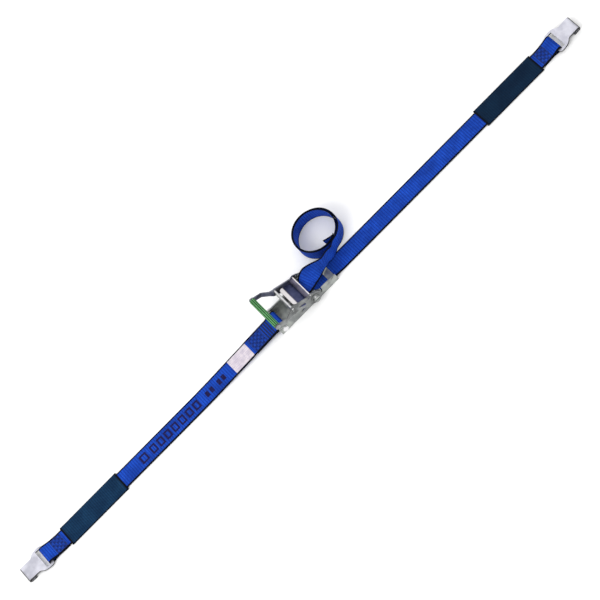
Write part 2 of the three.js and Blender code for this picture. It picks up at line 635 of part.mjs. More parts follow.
// The doubled length of a sewn end, from the eye's point to where the folded end stops.
function sewnPart(line, from, to) {
  const stretch = between(line, Math.min(from, to), Math.max(from, to));
  return band(stretch, -WEB_THICK, WEB_THICK, WEB_WIDTH / 2);
}

function addStraps() {
  const half = WEB_WIDTH / 2;
  const single = (line) => band(line, -WEB_THICK / 2, WEB_THICK / 2, half);
  const anchorEye = eye(v2(ANCHOR_X, ANCHOR_Z), EYE_INNER_R, fixedLine[0]);
  const hookEyeA = eye(v2(HOOK_A_X, HOOK_Z), HOOK_EYE_INNER_R, fixedLine.at(-1));
  const hookEyeB = eye(v2(HOOK_B_X, HOOK_Z), HOOK_EYE_INNER_R, loadLine.at(-1));
  const fixed = single(fixedLine)
    .add(sewnPart(fixedLine, fixedLine[0].x, SEWN_END_X[0]))
    .add(sewnPart(fixedLine, fixedLine.at(-1).x, SEWN_END_X[1]))
    .add(anchorEye[0]).add(hookEyeA[0])
    .subtract(anchorEye[1]).subtract(hookEyeA[1]);
  addPart(tieDown, 'fixed_strap', fixed, blueWebbing);
  const load = single(loadLine)
    .add(sewnPart(loadLine, loadLine.at(-1).x, SEWN_END_X[2]))
    .add(hookEyeB[0])
    .subtract(hookEyeB[1]);
  addPart(tieDown, 'load_strap', load, blueWebbing);

  const labelLine = between(fixedLine, ...LABEL_X);
  const labelLow = WEB_THICK / 2 + TOUCH_GAP;
  // the line runs towards -X, so its left side is below it
  const label = band(labelLine, -labelLow - LABEL_THICK, -labelLow, LABEL_WIDTH / 2);
  addPart(tieDown, 'label', label, labelCloth);

  const boreHalfZ = WEB_THICK / 2 + TOUCH_GAP;
  const skinHalfZ = boreHalfZ + SLEEVE_THICK;
  const bore = box([-SLEEVE_LENGTH, SLEEVE_LENGTH], [-half - 1.5, half + 1.5], [-boreHalfZ, boreHalfZ]);
  for (const [name, x] of [['wear_sleeve_a', SLEEVE_A_X], ['wear_sleeve_b', SLEEVE_B_X]]) {
    const round = skinHalfZ - 0.2;
    const skin = roundedRectangle([-SLEEVE_WIDTH / 2, SLEEVE_WIDTH / 2], [-skinHalfZ, skinHalfZ], round);
    const sleeve = prismX(skin, -SLEEVE_LENGTH / 2, SLEEVE_LENGTH / 2, 6).subtract(bore);
    addPart(tieDown, name, sleeve.translate([x, 0, STRAP_Z]), navySleeve);
  }
}

function addHooks() {
  const plan = new THREE.Shape();
  const w = HOOK_HALF_WIDTH;
  const t = HOOK_TONGUE_HALF;
  const [neckStart, neckEnd] = HOOK_NECK_X;
  const neckMiddle = (neckStart + neckEnd) / 2;
  const round = 10;
  plan.moveTo(-HOOK_BAR_HALF, -w + round);
  plan.quadraticCurveTo(-HOOK_BAR_HALF, -w, -HOOK_BAR_HALF + round, -w);
  plan.quadraticCurveTo(neckStart, -w, neckMiddle, (-w - t) / 2);
  plan.quadraticCurveTo(neckEnd - 2, -t, neckEnd + 4, -t);
  plan.lineTo(HOOK_TIP_X + 1, -t);
  plan.lineTo(HOOK_TIP_X + 1, t);
  plan.lineTo(neckEnd + 4, t);
  plan.quadraticCurveTo(neckEnd - 2, t, neckMiddle, (w + t) / 2);
  plan.quadraticCurveTo(neckStart, w, -HOOK_BAR_HALF + round, w);
  plan.quadraticCurveTo(-HOOK_BAR_HALF, w, -HOOK_BAR_HALF, w - round);
  plan.closePath();
  const slotY = WEB_WIDTH / 2 + HOOK_SLOT_SIDE_GAP;
  plan.holes.push(roundedRectangle([HOOK_BAR_HALF, HOOK_SLOT_END_X], [-slotY, slotY], HOOK_SLOT_SIDE_GAP));

  const top = HOOK_THICK / 2;
  const bendX = HOOK_TIP_X - HOOK_BEND_R;
  const bendZ = top - HOOK_BEND_R;
  const side = new THREE.Shape();
  side.moveTo(-HOOK_BAR_HALF - 1, -top);
  side.lineTo(bendX, -top);
  side.absarc(bendX, bendZ, HOOK_BEND_R - HOOK_THICK, Math.PI / 2, -Math.PI / 2, true);
  side.lineTo(HOOK_LIP_X, HOOK_LIP_Z + HOOK_THICK);
  side.lineTo(HOOK_LIP_X, HOOK_LIP_Z);
  side.absarc(bendX, bendZ, HOOK_BEND_R, -Math.PI / 2, Math.PI / 2);
  side.lineTo(-HOOK_BAR_HALF - 1, top);
  side.closePath();
  const hook = prismY(side, -w - 1, w + 1, 12).intersect(prismZ(plan, HOOK_LIP_Z - 1, top + 1, 8));
  const tilted = hook.rotate([0, -THREE.MathUtils.radToDeg(HOOK_TILT), 0]);
  addPart(tieDown, 'hook_b', tilted.translate([HOOK_B_X, 0, HOOK_Z]), brightSteel);
  addPart(tieDown, 'hook_a', tilted.rotate([0, 0, 180]).translate([HOOK_A_X, 0, HOOK_Z]), brightSteel);
}

// ---------- free tail ----------

// The tail's middle line from the spindle's far side, over its top, to beside the standing turn,
// with how far the webbing has turned from flat there, in degrees.
const WRAP_R = SPINDLE_R + SLIDE_GAP + WEB_THICK / 2;
const TAIL_WRAP = [180, 158, 136, 114].map((angle) => {
  const turn = THREE.MathUtils.degToRad(angle);
  return [WRAP_R * Math.cos(turn), 0, SPINDLE_Z + WRAP_R * Math.sin(turn), 0];
});
const TAIL_TOP = SPINDLE_Z + WRAP_R; // over the spindle
const toRadians = THREE.MathUtils.degToRad;
// a place on the tail's middle line from its lower edge's height and its turn about its own length
const tailAt = (x, y, low, turn) => [x, y, low + (WEB_WIDTH / 2) * Math.sin(toRadians(turn)), turn];
const TAIL_ROUTE = [...TAIL_WRAP, tailAt(1, 0, TAIL_TOP + 0.2, 0), tailAt(12, 3, TAIL_TOP - 3.1, 14),
  tailAt(23, 6, TAIL_TOP - 6.9, 32), tailAt(36, 4.5, TAIL_TOP - 9.3, 56), tailAt(49, 2, TAIL_TOP - 8.8, 74),
  tailAt(62, 0, TAIL_TOP - 9, 88), tailAt(72, 0, TAIL_TOP - 9.8, 95),
  tailAt(88, COIL_FOOT_Y - 83, 18.5, 99), tailAt(104, COIL_FOOT_Y - 75, 7.3, 99),
  tailAt(122, COIL_FOOT_Y - 63.2, 3.7, 98)];

// A band of webbing along a line of [x, y, z, turn], as one closed body.
function turnedBand(route, steps) {
  const places = route.map(([x, y, z]) => new THREE.Vector3(x, y, z));
  const path = new THREE.CatmullRomCurve3(places, false, 'centripetal');
  const count = (route.length - 1) * steps;
  const sections = [];
  for (let i = 0; i <= count; i += 1) {
    const leg = Math.min(Math.floor(i / steps), route.length - 2);
    const share = i / steps - leg;
    const turn = THREE.MathUtils.degToRad(THREE.MathUtils.lerp(route[leg][3], route[leg + 1][3], share));
    const middle = path.getPoint(i / count);
    const along = path.getTangent(i / count);
    const across = new THREE.Vector3(0, 1, 0).addScaledVector(along, -along.y).normalize();
    across.applyAxisAngle(along, turn);
    const up = along.clone().cross(across).normalize();
    sections.push([[-1, -1], [1, -1], [1, 1], [-1, 1]].map(([a, b]) => middle.clone()
      .addScaledVector(across, a * WEB_WIDTH / 2).addScaledVector(up, b * WEB_THICK / 2)));
  }
  return loft(sections);
}

function addTail() {
  addPart(tieDown, 'tail_webbing', turnedBand(TAIL_ROUTE, 3), blueWebbing);

  const low = TOUCH_GAP;
  const high = TOUCH_GAP + WEB_WIDTH;
  const inner = COIL_R - COIL_THICK;
  const ring = new THREE.LatheGeometry(
    [v2(inner, low), v2(COIL_R, low), v2(COIL_R, high), v2(inner, high), v2(inner, low)], 48);
  ring.rotateX(Math.PI / 2);
  const lean = new THREE.Matrix4().set(
    1, 0, 0, COIL_X, 0, 1, -COIL_LEAN / WEB_WIDTH, COIL_FOOT_Y, 0, 0, 1, 0, 0, 0, 0, 1);
  ring.applyMatrix4(lean);
  addPart(tieDown, 'tail_coil', toSolid(ring), blueWebbing);
}

addFrame();
addFramePawl();
addSpindle();
addHandleArms();
addHandlePawl();
addHandleCrossPieces();
addStraps();
addHooks();
addTail();

export default tieDown;
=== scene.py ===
"""A ratchet tie down with a flat hook on each end: webbing, sleeves, label and finishes on the CAD frame.

X runs along the strap, Y across it towards the free tail's ring, and Z up. Lengths are in metres.
"""

import json
import math

import bpy
import numpy as np
from mathutils import Matrix, Vector, noise
from mathutils.bvhtree import BVHTree
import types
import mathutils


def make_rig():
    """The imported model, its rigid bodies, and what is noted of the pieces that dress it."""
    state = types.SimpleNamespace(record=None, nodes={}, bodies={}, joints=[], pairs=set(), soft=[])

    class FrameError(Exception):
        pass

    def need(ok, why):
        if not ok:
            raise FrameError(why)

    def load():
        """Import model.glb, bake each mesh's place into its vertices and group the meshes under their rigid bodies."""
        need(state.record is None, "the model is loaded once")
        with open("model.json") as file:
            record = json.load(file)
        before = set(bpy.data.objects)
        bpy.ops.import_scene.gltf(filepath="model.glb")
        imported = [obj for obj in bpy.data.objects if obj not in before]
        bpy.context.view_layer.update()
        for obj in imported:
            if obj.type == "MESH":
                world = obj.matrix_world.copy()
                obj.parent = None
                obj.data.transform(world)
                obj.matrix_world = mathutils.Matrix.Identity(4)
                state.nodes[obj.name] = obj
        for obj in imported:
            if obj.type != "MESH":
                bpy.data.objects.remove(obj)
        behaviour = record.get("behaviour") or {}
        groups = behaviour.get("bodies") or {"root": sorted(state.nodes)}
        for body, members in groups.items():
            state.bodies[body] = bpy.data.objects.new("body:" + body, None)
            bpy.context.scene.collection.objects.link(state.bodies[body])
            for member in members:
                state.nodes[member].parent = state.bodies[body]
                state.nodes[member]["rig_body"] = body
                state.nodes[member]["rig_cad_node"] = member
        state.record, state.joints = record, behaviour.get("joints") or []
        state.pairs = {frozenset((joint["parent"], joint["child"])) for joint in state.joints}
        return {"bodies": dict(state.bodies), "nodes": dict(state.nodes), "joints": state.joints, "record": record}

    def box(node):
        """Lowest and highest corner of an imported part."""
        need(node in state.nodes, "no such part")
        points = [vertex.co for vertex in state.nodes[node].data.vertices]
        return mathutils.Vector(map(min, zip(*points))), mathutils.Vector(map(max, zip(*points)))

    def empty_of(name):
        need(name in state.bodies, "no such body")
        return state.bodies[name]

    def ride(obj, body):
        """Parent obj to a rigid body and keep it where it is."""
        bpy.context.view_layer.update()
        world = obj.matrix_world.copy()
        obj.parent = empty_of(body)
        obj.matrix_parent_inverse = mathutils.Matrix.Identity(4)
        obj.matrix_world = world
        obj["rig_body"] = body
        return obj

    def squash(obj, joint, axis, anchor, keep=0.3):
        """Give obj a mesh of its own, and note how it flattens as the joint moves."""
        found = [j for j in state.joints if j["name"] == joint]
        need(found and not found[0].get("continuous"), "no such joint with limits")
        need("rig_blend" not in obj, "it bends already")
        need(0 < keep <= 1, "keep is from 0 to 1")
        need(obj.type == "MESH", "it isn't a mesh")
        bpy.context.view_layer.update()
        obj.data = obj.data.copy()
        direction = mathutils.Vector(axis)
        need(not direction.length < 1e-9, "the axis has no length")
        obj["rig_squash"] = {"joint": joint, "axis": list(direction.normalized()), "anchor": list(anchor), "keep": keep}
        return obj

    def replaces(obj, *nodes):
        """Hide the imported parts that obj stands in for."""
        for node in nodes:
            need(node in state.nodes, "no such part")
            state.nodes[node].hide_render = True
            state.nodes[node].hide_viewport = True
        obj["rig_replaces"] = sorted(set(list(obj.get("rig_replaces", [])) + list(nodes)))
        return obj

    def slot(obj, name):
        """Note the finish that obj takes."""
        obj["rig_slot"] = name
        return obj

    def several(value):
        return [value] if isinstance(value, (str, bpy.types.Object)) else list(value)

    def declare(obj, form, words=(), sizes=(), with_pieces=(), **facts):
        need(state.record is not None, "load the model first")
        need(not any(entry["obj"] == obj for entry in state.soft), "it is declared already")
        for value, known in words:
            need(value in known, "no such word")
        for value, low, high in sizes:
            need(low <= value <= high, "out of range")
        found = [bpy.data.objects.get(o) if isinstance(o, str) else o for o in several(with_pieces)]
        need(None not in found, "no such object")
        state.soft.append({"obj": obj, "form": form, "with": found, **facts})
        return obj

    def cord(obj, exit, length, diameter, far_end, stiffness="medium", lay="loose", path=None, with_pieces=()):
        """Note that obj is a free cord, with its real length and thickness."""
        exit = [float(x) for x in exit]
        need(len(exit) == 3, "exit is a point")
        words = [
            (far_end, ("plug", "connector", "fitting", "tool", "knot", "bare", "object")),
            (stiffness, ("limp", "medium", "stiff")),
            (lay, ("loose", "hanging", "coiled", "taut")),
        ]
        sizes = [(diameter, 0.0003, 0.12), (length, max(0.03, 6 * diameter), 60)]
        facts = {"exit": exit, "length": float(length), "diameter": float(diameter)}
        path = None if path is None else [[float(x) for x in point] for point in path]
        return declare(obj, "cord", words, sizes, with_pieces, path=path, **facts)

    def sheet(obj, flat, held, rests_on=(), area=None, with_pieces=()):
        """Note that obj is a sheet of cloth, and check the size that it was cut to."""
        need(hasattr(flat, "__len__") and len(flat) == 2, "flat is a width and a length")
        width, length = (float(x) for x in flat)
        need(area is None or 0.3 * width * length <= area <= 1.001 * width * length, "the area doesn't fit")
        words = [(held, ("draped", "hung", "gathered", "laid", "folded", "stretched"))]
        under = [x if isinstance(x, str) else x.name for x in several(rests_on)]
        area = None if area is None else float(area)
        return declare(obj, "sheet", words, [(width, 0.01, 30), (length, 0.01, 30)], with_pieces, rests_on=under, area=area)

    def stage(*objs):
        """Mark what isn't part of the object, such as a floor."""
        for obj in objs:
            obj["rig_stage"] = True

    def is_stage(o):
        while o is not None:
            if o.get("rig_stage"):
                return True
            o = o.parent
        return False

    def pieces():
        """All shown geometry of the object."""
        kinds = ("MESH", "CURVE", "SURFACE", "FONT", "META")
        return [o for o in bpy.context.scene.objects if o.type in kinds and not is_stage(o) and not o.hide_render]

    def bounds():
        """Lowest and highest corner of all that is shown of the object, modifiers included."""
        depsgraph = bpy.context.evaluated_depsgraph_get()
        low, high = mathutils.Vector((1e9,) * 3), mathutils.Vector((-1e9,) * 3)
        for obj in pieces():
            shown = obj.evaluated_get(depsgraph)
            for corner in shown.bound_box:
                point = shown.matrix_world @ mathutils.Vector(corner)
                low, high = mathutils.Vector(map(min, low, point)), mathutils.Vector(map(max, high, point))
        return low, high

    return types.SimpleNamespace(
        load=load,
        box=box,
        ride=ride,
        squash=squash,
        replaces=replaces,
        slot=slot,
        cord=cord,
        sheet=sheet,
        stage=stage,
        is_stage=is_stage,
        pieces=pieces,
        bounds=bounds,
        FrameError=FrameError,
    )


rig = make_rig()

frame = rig.load()
CAD_LOW, CAD_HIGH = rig.bounds()

# ---------- sizes ----------

MM = 0.001
WEB_WIDTH = 50 * MM
WEB_THICK = 2.2 * MM
STEP = 3 * MM  # between the sections of a webbing mesh
RIBS = 22  # warp ribs across the webbing
RIB_DEPTH = 0.13 * MM
LAYER = WEB_THICK / 2 + 0.05 * MM  # from the middle of two sewn layers to the middle of one

SPINDLE_AXIS = Vector((0, 0, 24)) * MM
ANCHOR = Vector((-102, 0, 16)) * MM
HOOK_A = Vector((-881.8, 0, 7.5)) * MM
HOOK_B = Vector((821.6, 0, 7.5)) * MM
ANCHOR_LOOP_R = 6.8 * MM
HOOK_LOOP_R = 6.2 * MM

# The webbing's middle line seen from the side, as x and z, from the anchor bolt to hook A.
FIXED_LINE = [(-124, 14.6), (-190, 11), (-258, 7.4), (-320, 4), (-370, 2.6), (-400, 2.6), (-600, 2.6),
              (-800, 2.6), (-822, 2.6), (-842, 3.6), (-862, 6.5)]
# The same from the spindle's slot, round its front and on to hook B.
LOAD_LINE = [(9.9, 24), (11.6, 23.6), (12.8, 22.2), (13, 20), (12.6, 17), (12.8, 13.5), (14.6, 9.8),
             (18.2, 6.9), (23, 5.6), (30, 5.1), (48, 5), (72, 4.9), (100, 3), (130, 2.6), (160, 2.6),
             (450, 2.6), (740, 2.6), (765, 2.6), (783, 3.6), (802, 6.5)]
ANCHOR_FOLD_X = -192 * MM  # where each doubled end stops
HOOK_A_FOLD_X = -824 * MM
ANCHOR_BARS = [x * MM for x in (-145, -138.5, -132, -126)]  # where thread bars cross the anchor's doubled end
HOOK_B_FOLD_X = 767 * MM

# The free tail's middle line from the spindle's far side to the standing turn, as x, y, z,
# with how far the webbing has turned from flat, in degrees.
TAIL_LINE = [(-10.6, 0, 24, 0), (-9.8, 0, 28, 0), (-7.4, 0, 31.6, 0), (-4.3, 0, 33.7, 0), (1, 0, 34.8, 0),
             (12, 3, 37.5, 14), (23, 6, 41, 32), (36, 4.5, 46, 56), (49, 2, 49.8, 74),
             (62, 0, 50.6, 88), (72, 0, 49.7, 95), (88, 7.5, 43.2, 99), (104, 15.5, 32, 99)]
SEWN_HALF = 20 * MM  # from the middle of the webbing to the stitched border
ZIGZAGS = 8  # rows of zigzag across a sewn end
ZIGZAG_STEP = 7 * MM  # about how far each slanting line of a zigzag runs along X
SLEEVE_RIM = 28 * MM  # from the middle of a sleeve to its dark folded edge
SLEEVE_WALL = 1.1 * MM
SLEEVE_HEM = 9 * MM
SLEEVE_END = 6 * MM  # of closer rings, at each end of a sleeve's mesh
SLEEVE_ROUND = 0.35, 0.55  # powers that make its section a flattened oval, across and up
LABEL_WIDTH = 42 * MM
LABEL_THICK = 0.5 * MM
LABEL_LIFT = 1.75 * MM  # of the label's middle over the webbing's
LABEL_SEAM_Y = 19.4 * MM
LABEL_SEAM_IN = 2.5 * MM  # from each of its ends
RING_X = 109 * MM
RING_FOOT_Y = 90.5 * MM
RING_LEAN = 7 / 50  # the ring leans towards the strap by this share of its height
RING_LEAN_DEG = 98  # the same, as a turn of the webbing
# Round the ring, anticlockwise from above: the angle from +X in degrees, the radius and the height there.
RING_ROUTE = [(-77.6, 60.6, 28.5), (-30, 62, 26), (60, 57.4, 25.3), (300, 55.8, 25.3), (653, 53.3, 25.3)]
RING_SEAM = 300  # about where the first mesh ends and the second carries on
SEAM_R = 58.5 * MM  # about the outer turn's mean radius on the way there
RING_STEP = 15  # degrees between the route's points round the ring
END_FLAP = [(134.2, 40.6), (132, 40.6), (120, 43), (107.5, 47.2)]  # the free end's fold, as x and y

# As the handle swings over, it presses the tail flat towards a plane that falls from the spindle's top.
PRESS_WAY = Vector((0.19, 0, 1)).normalized()
PRESS_POINT = Vector((1, 0, 34.8)) * MM
PRESS_KEEP = 0.15

FRAME_PAWL_TILT = math.radians(12)
HANDLE_TILT = math.radians(24)
# the way that each pawl moves when it is pulled back
FRAME_PAWL_WAY = Vector((-math.cos(FRAME_PAWL_TILT), 0, -math.sin(FRAME_PAWL_TILT)))
HANDLE_PAWL_WAY = Vector((-math.cos(HANDLE_TILT), 0, math.sin(HANDLE_TILT)))
PAWL_TRAVEL = 6 * MM

PHOTO_TILT = math.radians(33)  # of the camera, away from straight down
PHOTO_TURN = math.radians(45.25)  # of the strap, anticlockwise from level
PHOTO_SPAN = 1.422  # across the picture, in the strap's plane
PHOTO_AIM = Vector((-0.0308, 0.0042, 0))
LENS_MM = 180
SENSOR_MM = 36


# ---------- camera ----------

def add_camera():
    data = bpy.data.cameras.new("photo_camera")
    data.lens = LENS_MM
    data.sensor_width = SENSOR_MM
    camera = bpy.data.objects.new("photo_camera", data)
    bpy.context.scene.collection.objects.link(camera)
    along = Vector((1, 0, 0))
    across = Vector((0, math.cos(PHOTO_TILT), math.sin(PHOTO_TILT)))
    back = along.cross(across)
    right = along * math.cos(PHOTO_TURN) - across * math.sin(PHOTO_TURN)
    up = along * math.sin(PHOTO_TURN) + across * math.cos(PHOTO_TURN)
    turn = Matrix((right, up, back)).transposed()
    place = PHOTO_AIM + back * (PHOTO_SPAN * LENS_MM / SENSOR_MM)
    camera.matrix_world = Matrix.Translation(place) @ turn.to_4x4()
    data.clip_end = 100
    bpy.context.scene.camera = camera


# ---------- lines ----------

def smooth(rows, step):
    """A centripetal Catmull-Rom line through rows of numbers, the first three a place, a step apart."""
    rows = np.array(rows, float)
    rows = np.vstack([2 * rows[0] - rows[1], rows, 2 * rows[-1] - rows[-2]])
    knots = np.concatenate([[0], np.cumsum(np.linalg.norm(np.diff(rows[:, :3], axis=0), axis=1) ** 0.5)])
    found = []
    for i in range(1, len(rows) - 2):
        p0, p1, p2, p3 = rows[i - 1:i + 3]
        t0, t1, t2, t3 = knots[i - 1:i + 3]
        count = max(2, math.ceil(np.linalg.norm((p2 - p1)[:3]) / step))
        for t in np.linspace(t1, t2, count, endpoint=False):
            a1 = (p0 * (t1 - t) + p1 * (t - t0)) / (t1 - t0)
            a2 = (p1 * (t2 - t) + p2 * (t - t1)) / (t2 - t1)
            a3 = (p2 * (t3 - t) + p3 * (t - t2)) / (t3 - t2)
            b1 = (a1 * (t2 - t) + a2 * (t - t0)) / (t2 - t0)
            b2 = (a2 * (t3 - t) + a3 * (t - t1)) / (t3 - t1)
            found.append((b1 * (t2 - t) + b2 * (t - t1)) / (t2 - t1))
    found.append(rows[-2])
    return np.array(found)


def unit(rows):
    return rows / np.linalg.norm(rows, axis=1, keepdims=True)


def lengths(line):
    """How far along the line each of its points is."""
    return np.concatenate([[0], np.cumsum(np.linalg.norm(np.diff(line, axis=0), axis=1))])


def side_line(points):
    """A line drawn from the side in millimetres, as places in the frame."""
    return smooth([(x * MM, 0, z * MM) for x, z in points], STEP)


def upward(line):
    """The upward normal at each point of a line that lies in the XZ plane."""
    along = unit(np.gradient(line, axis=0))
    normal = np.stack([-along[:, 2], along[:, 1] * 0, along[:, 0]], axis=1)
    return normal * np.sign(normal[:, 2:])


def arc(centre, radius, start, end, count=9):
    """Points of an arc in the XZ plane, between two angles in degrees from +X towards +Z."""
    turns = np.radians(np.linspace(start, end, count))
    return [(centre.x + radius * math.cos(a), 0, centre.z + radius * math.sin(a)) for a in turns]


def ease(x, low, high):
    """From 0 at low to 1 at high, with a soft start and end."""
    t = np.clip((x - low) / (high - low), 0, 1)
    return t * t * (3 - 2 * t)


# ---------- meshes ----------

def add_mesh(name, verts, faces, body, material, replaces=(), slot="blue_webbing"):
    mesh = bpy.data.meshes.new(name)
    mesh.from_pydata([tuple(v) for v in verts], [], faces)
    mesh.update()
    mesh.shade_smooth()
    mesh.materials.append(material)
    piece = bpy.data.objects.new(name, mesh)
    bpy.context.scene.collection.objects.link(piece)
    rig.ride(piece, body)
    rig.slot(piece, slot)
    if replaces:
        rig.replaces(piece, *replaces)
    return piece


def cloth_places(mesh, rows):
    """Keeps, on each point, its distance along and across the cloth and its side, for the weave."""
    layer = mesh.attributes.new("cloth", "FLOAT_VECTOR", "POINT")
    layer.data.foreach_set("vector", np.array(rows, np.float32).ravel())


def web_section(width, thick):
    """The webbing's cross-section: places across and up, round its top face and back along its lower one."""
    inner = np.linspace(-0.96, 0.96, 4 * RIBS + 1)
    across = np.concatenate([[-1, -0.994, -0.98], inner, [0.98, 0.994, 1]])
    crown = np.sqrt(1 - np.abs(across) ** 24)
    rib = 0.5 - 0.5 * np.cos(2 * np.pi * RIBS * (across + 0.96) / 1.92)
    height = thick / 2 * crown - RIB_DEPTH * (1 - rib) * (np.abs(across) <= 0.961)
    top = np.stack([across * width / 2, height, np.ones_like(across)], axis=1)
    top[[0, -1], 1:] = 0
    low = (top * [1, -1, -1])[1:-1][::-1]
    return np.vstack([top, low])


def webbing(name, line, across, body, material, replaces=(), width=WEB_WIDTH, thick=WEB_THICK, whole=None):
    """A length of webbing along a line, with ribs, round edges and a cut face at each end. A part of a longer
    line is given as whole=(the line, the part's first point), and meets its neighbour without a step."""
    longer, start = whole or (line, 0)
    along = unit(np.gradient(longer, axis=0))[start:start + len(line)]
    across = unit(across - along * np.sum(across * along, axis=1, keepdims=True))
    up = np.cross(across, along)
    section = web_section(width, thick)
    far = lengths(longer)[start:start + len(line)]
    count = len(section)
    verts = (line[:, None, :] + up[:, None, :] * section[None, :, 1:2]
             + across[:, None, :] * section[None, :, 0:1]).reshape(-1, 3)
    faces = []
    for i in range(len(line) - 1):
        for j in range(count):
            k = (j + 1) % count
            faces.append((i * count + j, i * count + k, (i + 1) * count + k, (i + 1) * count + j))
    half = count // 2
    last = (len(line) - 1) * count
    for j in range(half):
        a, b, c, d = j, j + 1, (count - j - 1) % count, (count - j) % count
        near = tuple(dict.fromkeys((a, d, c, b)))  # the outermost caps are triangles
        faces.append(near)
        faces.append(tuple(last + v for v in reversed(near)))
    piece = add_mesh(name, verts, faces, body, material, replaces)
    cloth = [(s, a, side) for s in far for a, _, side in section]
    cloth_places(piece.data, cloth)
    return piece


# ---------- strap, sewn ends and tail ----------

def sewn_line(line, fold_x, loop, end):
    """A strap's line with one end taken round a bar and folded back under it: end is 0 for the line's start
    or -1 for its end, fold_x where the folded part stops, and loop the points round the bar, top first."""
    if end == 0:
        line = line[::-1]
    normal = upward(line)
    way = np.sign(line[-1, 0] - line[0, 0])
    lift = LAYER * ease(way * (line[:, 0] - fold_x), -14 * MM, -2 * MM)
    upper = line + normal * lift[:, None]
    under = (line - normal * LAYER)[way * (line[:, 0] - fold_x) >= 0][::-1]
    whole = smooth(np.vstack([upper[:-1:2], loop, under[1::2]]), STEP)
    return whole if end == -1 else whole[::-1]


def add_straps(cloth, printed):
    anchor_loop = arc(ANCHOR, ANCHOR_LOOP_R, 100, -100)
    hook_a_loop = arc(HOOK_A, HOOK_LOOP_R, 80, 280)
    hook_b_loop = arc(HOOK_B, HOOK_LOOP_R, 100, -100)

    fixed = side_line(FIXED_LINE)
    path = np.vstack([[ANCHOR + Vector((-0.004, 0, 0))], fixed, [HOOK_A + Vector((0.004, 0, 0))]])
    line = sewn_line(fixed, HOOK_A_FOLD_X, hook_a_loop, -1)
    turned = np.argmax(line[:, 0] < HOOK_A_FOLD_X - 6 * MM)
    line = np.vstack([sewn_line(line[:turned], ANCHOR_FOLD_X, anchor_loop, 0), line[turned:]])
    across = np.tile([0.0, 1.0, 0.0], (len(line), 1))
    fixed_mesh = webbing("fixed_webbing", line, across, "frame", printed, ["fixed_strap"])
    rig.cord(fixed_mesh, exit=path[0], length=lengths(path)[-1], diameter=WEB_WIDTH, far_end="object",
            stiffness="stiff", lay="taut", path=path)

    load = side_line(LOAD_LINE)
    path = np.vstack([load, [HOOK_B - Vector((0.004, 0, 0))]])
    line = sewn_line(load, HOOK_B_FOLD_X, hook_b_loop, -1)
    load_across = -across[:1].repeat(len(line), 0)
    load_mesh = webbing("load_webbing", line, load_across, "frame", cloth, ["load_strap"])
    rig.cord(load_mesh, exit=path[0], length=lengths(path)[-1], diameter=WEB_WIDTH, far_end="object",
            stiffness="stiff", lay="taut", path=path)

    slot_line = np.array([(x * MM, 0, SPINDLE_AXIS.z) for x in (-9.2, -5, 0, 5, 9.2)])
    webbing("slot_webbing", slot_line, -across[:5], "spindle", cloth, ["webbing_in_spindle"])
    return fixed_mesh, load_mesh


def ring_point(angle):
    """A point of the tail's route round the ring, with the webbing's turn there."""
    angles, radii, heights = zip(*RING_ROUTE)
    radius = float(np.interp(angle, angles, radii)) * MM
    z = float(np.interp(angle, angles, heights)) * MM
    turn = math.radians(angle)
    return (RING_X + radius * math.cos(turn), RING_FOOT_Y + radius * math.sin(turn) - RING_LEAN * z, z,
            RING_LEAN_DEG)


def add_tail(cloth):
    """The free tail: over the spindle, on edge into the standing ring, and twice round to its folded end."""
    rows = [(x * MM, y * MM, z * MM, turn) for x, y, z, turn in TAIL_LINE]
    first, last = RING_ROUTE[0][0], RING_ROUTE[-1][0]
    turns = np.linspace(first, last, round((last - first) / RING_STEP))
    rows += [ring_point(angle) for angle in turns]
    rows += [(x * MM, y * MM, RING_ROUTE[-1][2] * MM, RING_LEAN_DEG) for x, y in END_FLAP]
    rows = smooth(rows, STEP)
    turn = np.radians(rows[:, 3])
    across = np.stack([turn * 0, -np.cos(turn), -np.sin(turn)], axis=1)
    line = rows[:, :3]
    long = lengths(smooth([(x * MM, y * MM, z * MM) for x, y, z, _ in TAIL_LINE], STEP))[-1]
    seam_angle = math.radians(RING_SEAM - first)
    seam = int(np.searchsorted(lengths(line), long + seam_angle * SEAM_R))
    for name, start, end, far_end, nodes in (("tail_outer_turn", 0, seam + 1, "object", ["tail_webbing"]),
                                             ("tail_inner_turn", seam, len(line), "bare", ["tail_coil"])):
        part = line[start:end]
        piece = webbing(name, part, across[start:end], "frame", cloth, nodes, whole=(line, start))
        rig.cord(piece, exit=part[0], length=lengths(part)[-1], diameter=WEB_WIDTH, far_end=far_end,
                stiffness="stiff", lay="loose", path=part)
        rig.squash(piece, "handle_swing", PRESS_WAY, PRESS_POINT, keep=PRESS_KEEP)


# ---------- stitches ----------

def stitch_rows(rows, top, sink=0.15 * MM, radius=0.7 * MM):
    """Thread stitches between pairs of points, each a low round bar; top gives the cloth's height."""
    verts, faces = [], []
    for start, end in rows:
        a, b = Vector((*start, top(*start))), Vector((*end, top(*end)))
        along = (b - a).normalized()
        side = Vector((-along.y, along.x, 0)).normalized()
        up = side.cross(along) * (1 if side.cross(along).z > 0 else -1)
        base = len(verts)
        for share, size in ((0, 0.35), (0.18, 0.9), (0.5, 1), (0.82, 0.9), (1, 0.35)):
            middle = a.lerp(b, share)
            for k in range(6):
                angle = math.pi * k / 5
                verts.append(middle + side * radius * size * math.cos(angle)
                             + up * (radius * size * math.sin(angle) - sink))
        for ring in range(4):
            for k in range(5):
                p = base + ring * 6 + k
                faces.append((p, p + 6, p + 7, p + 1))
        faces.append(tuple(base + k for k in range(6)))
        faces.append(tuple(base + 24 + k for k in reversed(range(6))))
    return verts, faces


def outline(low, high, half):
    """The corners of a border between two places along X, back to the first."""
    return [(low, -half), (high, -half), (high, half), (low, half), (low, -half)]


